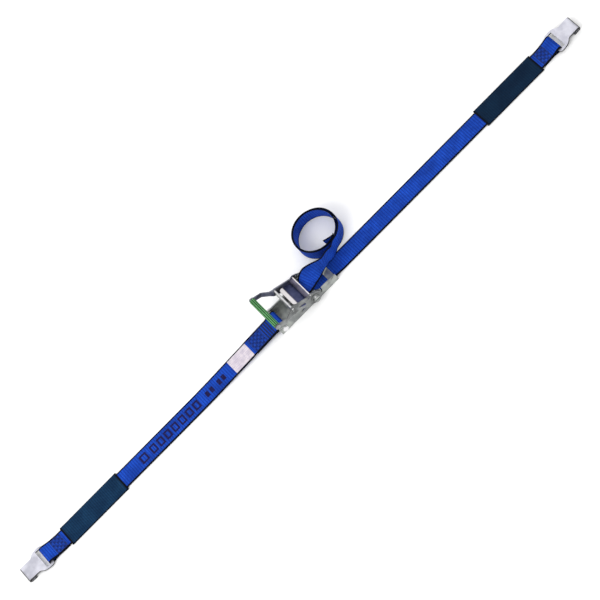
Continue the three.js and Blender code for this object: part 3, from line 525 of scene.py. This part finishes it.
def stitched(points, pitch=3.2 * MM, gap=0.25):
    """Stitches of one pitch along a line of (x, y) points, with a gap between one and the next."""
    line = np.array(points, float)
    far = lengths(line)
    count = max(1, round(far[-1] / pitch))
    found = []
    for i in range(count):
        at = (np.array([i + gap / 2, i + 1 - gap / 2])) * far[-1] / count
        xs, ys = [np.interp(at, far, line[:, k]) for k in (0, 1)]
        found.append(tuple((float(x), float(y)) for x, y in zip(xs, ys)))
    return found


def sewn_pattern(low, high, bars):
    """The stitching of a doubled end between two places along X: a border, zigzags along the webbing and bars
    of thread across it."""
    rows = stitched(outline(low, high, SEWN_HALF))
    reach = 2 * SEWN_HALF / ZIGZAGS
    for i in range(ZIGZAGS):
        y = -SEWN_HALF + i * reach
        steps = max(4, 2 * round((high - low) / (2 * ZIGZAG_STEP)))
        xs = np.linspace(low, high, steps + 1)
        rows += stitched([(x, y + (reach if j % 2 else 0)) for j, x in enumerate(xs)])
    for x in bars:
        for beside in (-0.7 * MM, 0.7 * MM):
            rows += stitched([(x + beside, -SEWN_HALF), (x + beside, SEWN_HALF)], pitch=4.2 * MM, gap=0.12)
    return rows


def top_of(cloth):
    """Gives the height of a cloth's upper face at a place on the ground plan."""
    mesh = cloth.data
    tree = BVHTree.FromPolygons([v.co for v in mesh.vertices], [p.vertices for p in mesh.polygons])

    def top(x, y):
        hit = tree.ray_cast(Vector((x, y, 1)), Vector((0, 0, -1)))
        return hit[0].z

    return top


def add_stitching(thread, fixed, load):
    for name, low, high, bars, cloth in (("anchor_stitching", -188, -150, ANCHOR_BARS, fixed),
                                         ("hook_a_stitching", -858, -828, (), fixed),
                                         ("hook_b_stitching", 771, 799, (), load)):
        verts, faces = stitch_rows(sewn_pattern(low * MM, high * MM, bars), top_of(cloth))
        add_mesh(name, verts, faces, "frame", thread)


# ---------- sleeves and label ----------

def add_sleeve(name, node, body, material):
    """A flat woven tube round the strap, with turned hems, soft ridges and its own inside."""
    low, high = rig.box(node)
    middle, size = (low + high) / 2, high - low
    inner_half, outer_half = size.z / 2 - SLEEVE_WALL, size.z / 2 - 0.25 * MM
    turns = np.linspace(0, 2 * np.pi, 96, endpoint=False)
    stations = np.concatenate([np.linspace(0, SLEEVE_END, 4),
                               np.linspace(SLEEVE_HEM, size.x - SLEEVE_HEM, 84),
                               np.linspace(size.x - SLEEVE_END, size.x, 4)])

    def spread(turn):
        return np.sign(np.cos(turn)) * np.abs(np.cos(turn)) ** SLEEVE_ROUND[0]

    def ring(x, half_y, half_z, grow):
        sin = np.sin(turns)
        y = spread(turns) * (half_y + grow * 0.3)
        z = np.sign(sin) * np.abs(sin) ** SLEEVE_ROUND[1] * (half_z + grow)
        ridge = [0.22 * MM * noise.noise(Vector((x * 90 + 3 * middle.x, yy * 12, 2.0 if zz > 0 else 7.0)))
                 for yy, zz in zip(y, z)]
        return [(low.x + x, middle.y + yy, middle.z + zz + (r if zz > 0 else 0) * min(1, abs(zz) / half_z))
                for yy, zz, r in zip(y, z, ridge)]

    verts, cloth = [], []
    half_y = size.y / 2 - 0.4 * MM
    for x in stations:
        edge = min(x, size.x - x)
        swell = 0.35 * MM * (1 - ease(edge, SLEEVE_HEM * 0.85, SLEEVE_HEM))
        thick_hem = swell - 0.3 * MM * (1 - ease(edge, 0, 1.5 * MM))
        weave = 0.10 * MM * math.sin(2 * math.pi * x / (4.4 * MM))
        verts += ring(x, half_y, outer_half, thick_hem + weave)
        cloth += [(x, half_y * spread(t), 1) for t in turns]
    for x in stations[::-1]:
        verts += ring(x, half_y - SLEEVE_WALL, inner_half, 0)
        cloth += [(x, half_y * spread(t), -1) for t in turns]
    count, rings = len(turns), 2 * len(stations)
    faces = []
    for i in range(rings):
        for j in range(count):
            k = (j + 1) % count
            n = (i + 1) % rings
            faces.append((i * count + j, i * count + k, n * count + k, n * count + j))
    sleeve = add_mesh(name, verts, faces, body, material, [node], "navy_sleeve")
    cloth_places(sleeve.data, cloth)
    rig.sheet(sleeve, flat=(2 * size.y, size.x), held="stretched", rests_on=["fixed_webbing", "load_webbing"])


def add_label(material, thread):
    low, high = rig.box("label")
    line = side_line(FIXED_LINE)
    xs = np.linspace(high.x, low.x, 42)
    inside = np.stack([xs, xs * 0, np.interp(-xs, -line[:, 0], line[:, 2])], axis=1)
    top = inside + upward(inside) * LABEL_LIFT
    curl = np.array([0.5 * MM * (1 - ease(min(x - low.x, high.x - x), 0, 5 * MM)) for x in top[:, 0]])
    top[:, 2] += curl
    across = np.tile([0.0, 1.0, 0.0], (len(top), 1))
    label = webbing("label_cloth", top, across, "frame", material, ["label"], LABEL_WIDTH, LABEL_THICK)
    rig.slot(label, "label_cloth")
    size = high - low
    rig.sheet(label, flat=(size.y, size.x), held="laid", rests_on=["fixed_webbing"])

    def label_top(x, y):
        return float(np.interp(-x, -top[:, 0], top[:, 2])) + LABEL_THICK / 2

    border = outline(low.x + LABEL_SEAM_IN, high.x - LABEL_SEAM_IN, LABEL_SEAM_Y)
    rows = stitched(border, pitch=2.4 * MM)
    verts, faces = stitch_rows(rows, label_top, sink=0.12 * MM, radius=0.25 * MM)
    add_mesh("label_stitching", verts, faces, "frame", thread, slot="label_cloth")


# ---------- finishes ----------

class Finish:
    """A material's nodes, with a short call for each kind that the finishes here are made from."""

    def __init__(self, name):
        self.material = bpy.data.materials.new(name)
        self.material.use_nodes = True
        self.tree = self.material.node_tree
        self.shader = self.tree.nodes["Principled BSDF"]

    def node(self, kind, **settings):
        made = self.tree.nodes.new("ShaderNode" + kind)
        for key, value in settings.items():
            setattr(made, key, value)
        return made

    def feed(self, socket, value):
        if isinstance(value, bpy.types.NodeSocket):
            self.tree.links.new(value, socket)
        else:
            socket.default_value = value

    def math(self, operation, *values):
        made = self.node("Math", operation=operation)
        for socket, value in zip(made.inputs, values):
            self.feed(socket, value)
        return made.outputs[0]

    def place(self):
        return self.node("TexCoord").outputs["Object"]

    def scaled(self, vector, by):
        made = self.node("Mapping")
        self.feed(made.inputs["Vector"], vector)
        made.inputs["Scale"].default_value = by
        return made.outputs[0]

    def noise(self, vector, scale, detail=3.0, roughness=0.5):
        made = self.node("TexNoise")
        self.feed(made.inputs["Vector"], vector)
        for name, value in (("Scale", scale), ("Detail", detail), ("Roughness", roughness)):
            made.inputs[name].default_value = value
        return made.outputs["Fac"]

    def ranged(self, value, low, high, to_low=0.0, to_high=1.0):
        made = self.node("MapRange", interpolation_type="SMOOTHSTEP")
        for socket, given in zip(made.inputs, (value, low, high, to_low, to_high)):
            self.feed(socket, given)
        return made.outputs[0]

    def mix(self, share, first, second):
        made = self.node("Mix", data_type="RGBA")
        self.feed(made.inputs[0], share)
        self.feed(made.inputs[6], (*first, 1) if isinstance(first, tuple) else first)
        self.feed(made.inputs[7], (*second, 1) if isinstance(second, tuple) else second)
        return made.outputs[2]

    def bump(self, height, distance, strength=1.0, normal=None):
        made = self.node("Bump")
        made.inputs["Strength"].default_value = strength
        made.inputs["Distance"].default_value = distance
        self.feed(made.inputs["Height"], height)
        if normal is not None:
            self.feed(made.inputs["Normal"], normal)
        return made.outputs[0]

    def set(self, **values):
        for name, value in values.items():
            self.feed(self.shader.inputs[name.replace("_", " ")], value)


def metal(name, colour, shade, rough=(0.28, 0.5), bevel=0.5 * MM, highlight_band=None, painted_side_shade=None):
    """Plated steel: cloudy plating, fine brushing, scuffs, and edges that are softened and rubbed bright.
    A painted highlight band, given as (axis, from, to), says where along an axis it turns to its brightest, to match
    the photo's bands.
    A painted shade, given as a colour, darkens every face that doesn't point up in the piece's own axes: its sides, and
    its underside too, standing for dark reflections and shade."""
    f = Finish(name)
    place = f.place()
    cloud = f.noise(place, 45, 4)
    grain = f.noise(f.scaled(place, (40, 900, 900)), 1.0, 2)
    scuff = f.ranged(f.noise(f.scaled(place, (300, 120, 300)), 1.0, 5, 0.7), 0.56, 0.72)
    rounded = f.node("Bevel", samples=4)
    rounded.inputs["Radius"].default_value = bevel
    flat = f.node("NewGeometry").outputs["Normal"]
    dot = f.node("VectorMath", operation="DOT_PRODUCT")
    f.feed(dot.inputs[0], rounded.outputs[0])
    f.feed(dot.inputs[1], flat)
    edge = f.ranged(dot.outputs["Value"], 0.998, 0.93)
    base = f.mix(f.ranged(cloud, 0.35, 0.68), shade, colour)
    base = f.mix(f.math("MULTIPLY", scuff, 0.35), base, tuple(c * 0.62 for c in colour))
    base = f.mix(f.math("MULTIPLY", edge, 0.7), base, tuple(min(1, c * 1.35 + 0.08) for c in colour))
    # painted highlight: a bright band painted along one of the piece's own axes
    if highlight_band:
        axis, start, end = highlight_band
        parts = f.node("SeparateXYZ")
        f.feed(parts.inputs[0], place)
        base = f.mix(f.ranged(parts.outputs[axis], start, end), base, (0.82, 0.79, 0.80))
    # painted shade: faces that don't point up in the piece's own axes take the given dark colour
    if painted_side_shade:
        facing = f.node("SeparateXYZ")
        f.feed(facing.inputs[0], f.node("TexCoord").outputs["Normal"])
        base = f.mix(f.ranged(facing.outputs[2], 0.90, 0.72), base, painted_side_shade)
    roughness = f.math("ADD", f.ranged(cloud, 0.3, 0.7, *rough), f.math("MULTIPLY", grain, 0.12))
    height = f.math("ADD", f.math("MULTIPLY", grain, 0.5), f.math("MULTIPLY", scuff, -0.5))
    f.set(Base_Color=base, Metallic=0.92, Roughness=roughness,
          Normal=f.bump(height, 0.05 * MM, 0.35, rounded.outputs[0]))
    return f.material


def weave_of(f, warp, weft):
    """The distance along and across the cloth, which side it is, and its woven height from 0 to 1."""
    parts = f.node("SeparateXYZ")
    f.feed(parts.inputs[0], f.node("Attribute", attribute_name="cloth").outputs["Vector"])
    along, across, side = parts.outputs
    row = f.math("MULTIPLY", across, 1 / warp)
    odd = f.math("MULTIPLY", f.math("FLOOR", row), math.pi / 2)
    over = f.math("SINE", f.math("ADD", f.math("MULTIPLY", along, math.pi / weft), odd))
    over = f.math("MULTIPLY_ADD", over, 0.5, 0.5)
    crown = f.math("ABSOLUTE", f.math("SINE", f.math("MULTIPLY", row, math.pi)))
    height = f.math("MULTIPLY", f.math("POWER", crown, 0.6), f.math("MULTIPLY_ADD", over, 0.55, 0.45))
    return along, across, side, height


def webbing_cloth(name, colour=(0.012, 0.075, 0.50), dark_weft_and_valley_shade=(0.003, 0.014, 0.15), bars=False):
    """Polyester webbing in a twill weave, with dark edge yarns and weft rows, painted shade in the weave's low places,
    and the print if asked.
    """
    f = Finish(name)
    along, across, side, height = weave_of(f, 1.1 * MM, 1.9 * MM)
    cloud = f.noise(f.place(), 26, 5, 0.6)
    yarn = f.noise(f.scaled(f.place(), (90, 1500, 1500)), 1.0, 2)
    body = f.mix(f.ranged(cloud, 0.3, 0.72), tuple(c * 0.72 for c in colour), tuple(c * 1.3 for c in colour))
    # painted shade: darker in the weave's low places, between the yarns
    body = f.mix(f.ranged(height, 0.75, 0.2, 0, 0.85), body, dark_weft_and_valley_shade)
    weft = f.math("SINE", f.math("MULTIPLY", along, 2 * math.pi / (6.4 * MM)))
    body = f.mix(f.ranged(weft, 0.1, 0.9, 0, 0.62), body, dark_weft_and_valley_shade)
    body = f.mix(f.ranged(yarn, 0.55, 0.8, 0, 0.25), body, tuple(min(1, c * 2 + 0.02) for c in colour))
    if bars:
        body = f.mix(printed_bars(f, side), body, (0.012, 0.006, 0.03))
    # painted shade: dimples of shade over the sewn ends, and dark bars across the webbing by the anchor
    body = f.mix(f.math("MULTIPLY", sewn_shade_and_bars(f, side), 0.8), body, (0.002, 0.006, 0.04))
    rim = f.ranged(f.math("ABSOLUTE", across), WEB_WIDTH / 2 - 4.4 * MM, WEB_WIDTH / 2 - 3.9 * MM)
    body = f.mix(rim, body, (0.0015, 0.002, 0.005))
    f.set(Base_Color=body, Roughness=f.ranged(height, 0, 1, 0.82, 0.6),
          Normal=f.bump(height, 0.35 * MM, 0.7, f.bump(yarn, 0.06 * MM, 0.5)),
          Sheen_Weight=0.05, Sheen_Roughness=0.45, Specular_IOR_Level=0.06)
    f.shader.inputs["Sheen Tint"].default_value = (0.1, 0.3, 1, 1)
    return f.material


SEWN = [(-190, -150), (-860, -826), (769, 801)]  # where the ends are sewn down, along X
SEWN_PITCH = 6.6 * MM  # between the painted dimples


def sewn_shade_and_bars(f, side):
    """Where the doubled webbing is painted with dimples of shade, as its puckers would cast, and with dark bars across
    it by the anchor.
    """
    parts = f.node("SeparateXYZ")
    f.feed(parts.inputs[0], f.place())
    x, y = parts.outputs[0], parts.outputs[1]
    waves = [f.math("SINE", f.math("MULTIPLY", axis, 2 * math.pi / (2 * SEWN_PITCH))) for axis in (x, y)]
    dimple = f.ranged(f.math("MULTIPLY", *waves), -0.1, 0.35)
    total = 0.0
    for low, high in SEWN:
        away = f.math("ABSOLUTE", f.math("SUBTRACT", x, (low + high) / 2 * MM))
        total = f.math("ADD", f.ranged(away, (high - low) / 2 * MM, (high - low) / 2 * MM - 2 * MM), total)
    total = f.math("MULTIPLY", f.math("MULTIPLY", total, dimple), 0.75)
    for bar in ANCHOR_BARS:
        away = f.math("ABSOLUTE", f.math("SUBTRACT", x, bar))
        total = f.math("ADD", f.ranged(away, 2.2 * MM, 1.2 * MM), total)
    within = f.ranged(f.math("ABSOLUTE", y), 22 * MM, 21 * MM)
    return f.math("MULTIPLY", f.math("MULTIPLY", total, within), f.ranged(side, 0.1, 0.6))


# the print's blocks in millimetres: from and to along X, and how far to each side of the middle
PRINT_BLOCKS = [(-567, -545, 12), (-533, -515, 12), (-509, -491, 12), (-485, -467, 12), (-461, -443, 12),
                (-437, -419, 12), (-413, -395, 12), (-389, -371, 12), (-348, -338, 8), (-333, -323, 8),
                (-308, -298, 8), (-293, -283, 8)]
PRINT_LINE = 4.6 * MM  # how wide the lines are that the larger blocks are drawn with
PRINT_OPEN = 10  # blocks that reach out farther than this are drawn as frames


def printed_bars(f, side):
    """Where the strap is printed: a row of plain frames and blocks, with no lettering."""
    parts = f.node("SeparateXYZ")
    f.feed(parts.inputs[0], f.place())
    x, y = parts.outputs[0], f.math("ABSOLUTE", parts.outputs[1])
    total = 0.0
    soft = 0.4 * MM
    for low, high, half in PRINT_BLOCKS:
        middle, reach = (low + high) / 2 * MM, (high - low) / 2 * MM
        away = f.math("ABSOLUTE", f.math("SUBTRACT", x, middle))
        block = f.math("MULTIPLY", f.ranged(away, reach + soft, reach - soft),
                       f.ranged(y, half * MM + soft, half * MM - soft))
        if half > PRINT_OPEN:
            inner, across = reach - PRINT_LINE, half * MM - PRINT_LINE
            hole = f.math("MULTIPLY", f.ranged(away, inner + soft, inner - soft),
                          f.ranged(y, across + soft, across - soft))
            block = f.math("SUBTRACT", block, hole)
        total = f.math("ADD", block, total)
    worn = f.ranged(f.noise(f.place(), 260, 4, 0.7), 0.3, 0.5, 0.55, 0.95)
    upper = f.ranged(side, 0.1, 0.6)
    return f.math("MULTIPLY", f.math("MULTIPLY", total, worn), upper)


def sleeve_cloth(name, depth):
    """A coarse, tight tube of navy yarn, its rows across the strap, with painted shade in the weave's low places; depth
    is how light its dye is.
    """
    f = Finish(name)
    along, across, side, height = weave_of(f, 1.5 * MM, 2.2 * MM)
    cloud = f.noise(f.place(), 30, 5, 0.6)
    dyes = (0.004, 0.025, 0.068), (0.008, 0.043, 0.105)
    pale, full = [tuple(depth * c for c in dye) for dye in dyes]
    body = f.mix(f.ranged(cloud, 0.3, 0.7), pale, full)
    # painted shade: darker in the weave's low places, between the yarns
    body = f.mix(f.ranged(height, 0.8, 0.25, 0, 0.6), body, (0.002, 0.010, 0.028))
    row = f.math("SINE", f.math("MULTIPLY", along, 2 * math.pi / (5.6 * MM)))
    body = f.mix(f.ranged(row, 0.2, 0.95, 0, 0.55), body, (0.001, 0.006, 0.02))
    low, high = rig.box("wear_sleeve_a")
    length = high.x - low.x
    from_end = f.math("SUBTRACT", length / 2, f.math("ABSOLUTE", f.math("SUBTRACT", along, length / 2)))
    body = f.mix(f.ranged(from_end, 5.2 * MM, 4.2 * MM), body, (0.0015, 0.003, 0.007))
    rim = f.ranged(f.math("ABSOLUTE", across), SLEEVE_RIM - 0.6 * MM, SLEEVE_RIM)
    body = f.mix(rim, body, (0.0015, 0.003, 0.007))
    fluff = f.noise(f.place(), 1400, 2)
    body = f.mix(f.ranged(fluff, 0.6, 0.8, 0, 0.35), body, (0.03, 0.07, 0.13))
    f.set(Base_Color=body, Roughness=f.ranged(height, 0, 1, 0.95, 0.8),
          Normal=f.bump(height, 0.5 * MM, 0.8), Sheen_Weight=0.04, Sheen_Roughness=0.5,
          Specular_IOR_Level=0.04)
    return f.material


def label_cloth():
    """A pale woven label with faint, broken ruled lines and no lettering."""
    f = Finish("label_cloth")
    along, across, side, height = weave_of(f, 0.45 * MM, 0.45 * MM)
    cloud = f.noise(f.place(), 70, 4, 0.6)
    body = f.mix(f.ranged(cloud, 0.3, 0.7), (0.48, 0.43, 0.50), (0.66, 0.60, 0.64))
    ruled = f.math("SINE", f.math("MULTIPLY", across, 2 * math.pi / (5.2 * MM)))
    breaks = f.ranged(f.noise(f.scaled(f.place(), (160, 20, 1)), 1.0, 1), 0.42, 0.5)
    inside = f.ranged(f.math("ABSOLUTE", across), 17 * MM, 16 * MM)
    ink = f.math("MULTIPLY", f.math("MULTIPLY", f.ranged(ruled, 0.7, 0.85), breaks), inside)
    body = f.mix(f.math("MULTIPLY", ink, 0.5), body, (0.28, 0.22, 0.42))
    f.set(Base_Color=body, Roughness=f.ranged(height, 0, 1, 0.7, 0.5),
          Normal=f.bump(height, 0.12 * MM, 0.6), Specular_IOR_Level=0.35)
    return f.material


def thread(name, colour):
    """Twisted sewing thread."""
    f = Finish(name)
    twist = f.noise(f.place(), 2200, 2)
    body = f.mix(f.ranged(twist, 0.35, 0.65), tuple(c * 0.5 for c in colour), colour)
    f.set(Base_Color=body, Roughness=f.ranged(twist, 0.3, 0.7, 0.8, 0.55),
          Normal=f.bump(twist, 0.1 * MM, 0.6))
    return f.material


def grip_plastic():
    """Green plastic with a fine grain of paler specks, and painted shade down in its grooves."""
    f = Finish("grip_plastic")
    place = f.place()
    grain = f.noise(place, 1300, 3)
    cloud = f.noise(place, 60, 4)
    parts = f.node("SeparateXYZ")
    f.feed(parts.inputs[0], place)
    body = f.mix(f.ranged(cloud, 0.3, 0.7), (0.075, 0.33, 0.085), (0.12, 0.45, 0.13))
    low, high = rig.box("grip_sleeve")
    middle = (low + high) / 2
    away = [f.math("POWER", f.math("SUBTRACT", parts.outputs[k], middle[k]), 2.0) for k in (0, 2)]
    radius = f.math("SQRT", f.math("ADD", *away))
    outside = (high.z - low.z) / 2
    # painted shade: darker where the surface sinks below the grip's outer radius, down in its grooves
    body = f.mix(f.ranged(radius, outside - 0.03 * MM, outside - 0.22 * MM), body, (0.001, 0.008, 0.002))
    body = f.mix(f.ranged(grain, 0.62, 0.8, 0, 0.3), body, (0.3, 0.5, 0.25))
    f.set(Base_Color=body, Roughness=f.ranged(grain, 0.3, 0.7, 0.38, 0.6),
          Normal=f.bump(grain, 0.08 * MM, 0.4))
    return f.material


def paint_frame_nodes():
    web_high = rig.box("handle_web")[1]
    arm = metal("arm_steel", (0.29, 0.30, 0.30), (0.12, 0.125, 0.125))
    wheels = metal("wheel_steel", (0.24, 0.25, 0.25), (0.06, 0.065, 0.065))
    # the handle web's front edge takes a painted highlight band
    plate = metal("plate_steel", (0.17, 0.16, 0.22), (0.06, 0.06, 0.10),
                  highlight_band=(0, web_high.x - 3.2 * MM, web_high.x - 2.4 * MM))
    # the pawl is painted dark and bluish, a painted reflection of the blue tail and painted shade, turning to a painted
    # highlight towards its pull tab
    pawl = metal("pawl_reflection_steel", (0.10, 0.11, 0.22), (0.05, 0.06, 0.13), highlight_band=(0, -38 * MM, -41 * MM))
    zinc = metal("zinc_steel", (0.42, 0.44, 0.42), (0.23, 0.24, 0.24))
    dark = metal("dark_steel", (0.22, 0.23, 0.27), (0.10, 0.105, 0.14))
    bright = metal("bright_steel", (0.80, 0.79, 0.80), (0.60, 0.60, 0.61), rough=(0.22, 0.42))
    # the hooks' sides and undersides take a painted shade
    hooks = metal("hook_steel", (0.68, 0.68, 0.75), (0.50, 0.50, 0.57), rough=(0.32, 0.5),
                  painted_side_shade=(0.05, 0.05, 0.05))
    finishes = {
        zinc: ["frame_channel", "nose_bridge", "handle_spring_stop",
               "grip_rod", "spindle_shaft_upper", "spindle_shaft_lower"],
        dark: ["frame_pawl", "handle_arm_far"],
        arm: ["handle_arm_near", "spindle_washer_near", "spindle_washer_far"],
        wheels: ["ratchet_wheel_near", "ratchet_wheel_far"],
        plate: ["handle_web"],
        pawl: ["handle_pawl"],
        bright: ["anchor_bolt", "anchor_nut", "cotter_pin_near", "cotter_pin_far", "handle_cross_bar"],
        hooks: ["hook_a", "hook_b"],
        grip_plastic(): ["grip_sleeve"],
    }
    for material, nodes in finishes.items():
        for name in nodes:
            node = frame["nodes"][name]
            node.data.materials.clear()
            node.data.materials.append(material)


def add_springs(steel):
    """The pawls' springs, as coils that shorten towards their stops while a pawl is pulled back."""
    for body, axis in (("frame", FRAME_PAWL_WAY), ("handle", HANDLE_PAWL_WAY)):
        for ending in ("near", "far"):
            name = f"{body}_pawl_spring_{ending}"
            source = frame["nodes"][name].data
            verts = [v.co.copy() for v in source.vertices]
            coil = add_mesh(f"{name}_coil", verts, [tuple(p.vertices) for p in source.polygons], body, steel,
                            [name], slot="bright_steel")
            reach = [v.dot(axis) for v in verts]
            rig.squash(coil, f"{body}_pawl_slide", axis, axis * max(reach),
                      keep=1 - PAWL_TRAVEL / (max(reach) - min(reach)))


# ---------- studio ----------

def add_light(name, place, size, power, aim=(0, 0, 0)):
    data = bpy.data.lights.new(name, "AREA")
    data.shape = "RECTANGLE"
    data.size, data.size_y = size
    data.energy = power
    light = bpy.data.objects.new(name, data)
    light.location = place
    light.rotation_mode = "QUATERNION"
    light.rotation_quaternion = (Vector(aim) - Vector(place)).to_track_quat("-Z", "Y")
    bpy.context.scene.collection.objects.link(light)


def add_studio():
    floor_z = CAD_LOW.z - 0.3 * MM
    corners = [(-6, -6), (6, -6), (6, 6), (-6, 6)]
    mesh = bpy.data.meshes.new("floor")
    mesh.from_pydata([(x, y, floor_z) for x, y in corners], [], [(0, 1, 2, 3)])
    pale = Finish("floor_paper")
    speck = pale.noise(pale.place(), 6, 3)
    pale.set(Base_Color=pale.mix(speck, (0.94, 0.94, 0.94), (0.96, 0.96, 0.96)), Roughness=0.95,
             Specular_IOR_Level=0.05)
    mesh.materials.append(pale.material)
    floor = bpy.data.objects.new("floor", mesh)
    bpy.context.scene.collection.objects.link(floor)
    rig.stage(floor)

    add_light("key", (-2.2, -1.0, 2.3), (2.2, 2.2), 62)
    add_light("fill", (1.8, -1.8, 2.4), (2.4, 2.4), 26)
    add_light("back", (0.2, 2.4, 2.2), (2.4, 1.2), 14)
    world = bpy.data.worlds.new("studio")
    world.use_nodes = True
    world.node_tree.nodes["Background"].inputs["Color"].default_value = (1, 1, 1, 1)
    world.node_tree.nodes["Background"].inputs["Strength"].default_value = 0.82
    bpy.context.scene.world = world
    bpy.context.scene.view_settings.view_transform = "Standard"


add_camera()
plain_webbing = webbing_cloth("webbing_cloth")
printed_webbing = webbing_cloth("printed_webbing_cloth", bars=True)
dark_thread = thread("dark_thread", (0.002, 0.004, 0.022))
pale_thread = thread("pale_thread", (0.7, 0.66, 0.68))
straps = add_straps(plain_webbing, printed_webbing)
add_tail(plain_webbing)
add_stitching(dark_thread, *straps)
add_sleeve("sleeve_a_cloth", "wear_sleeve_a", "sleeve_a", sleeve_cloth("navy_cloth", 1.05))
add_sleeve("sleeve_b_cloth", "wear_sleeve_b", "sleeve_b", sleeve_cloth("deep_navy_cloth", 0.5))
add_label(label_cloth(), pale_thread)
paint_frame_nodes()
add_springs(metal("spring_steel", (0.62, 0.62, 0.60), (0.42, 0.42, 0.41), bevel=0.15 * MM))
add_studio()

low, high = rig.bounds()
with open("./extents.json", "w") as out:
    json.dump({"cad": [list(CAD_LOW), list(CAD_HIGH)], "visual": [list(low), list(high)]}, out)
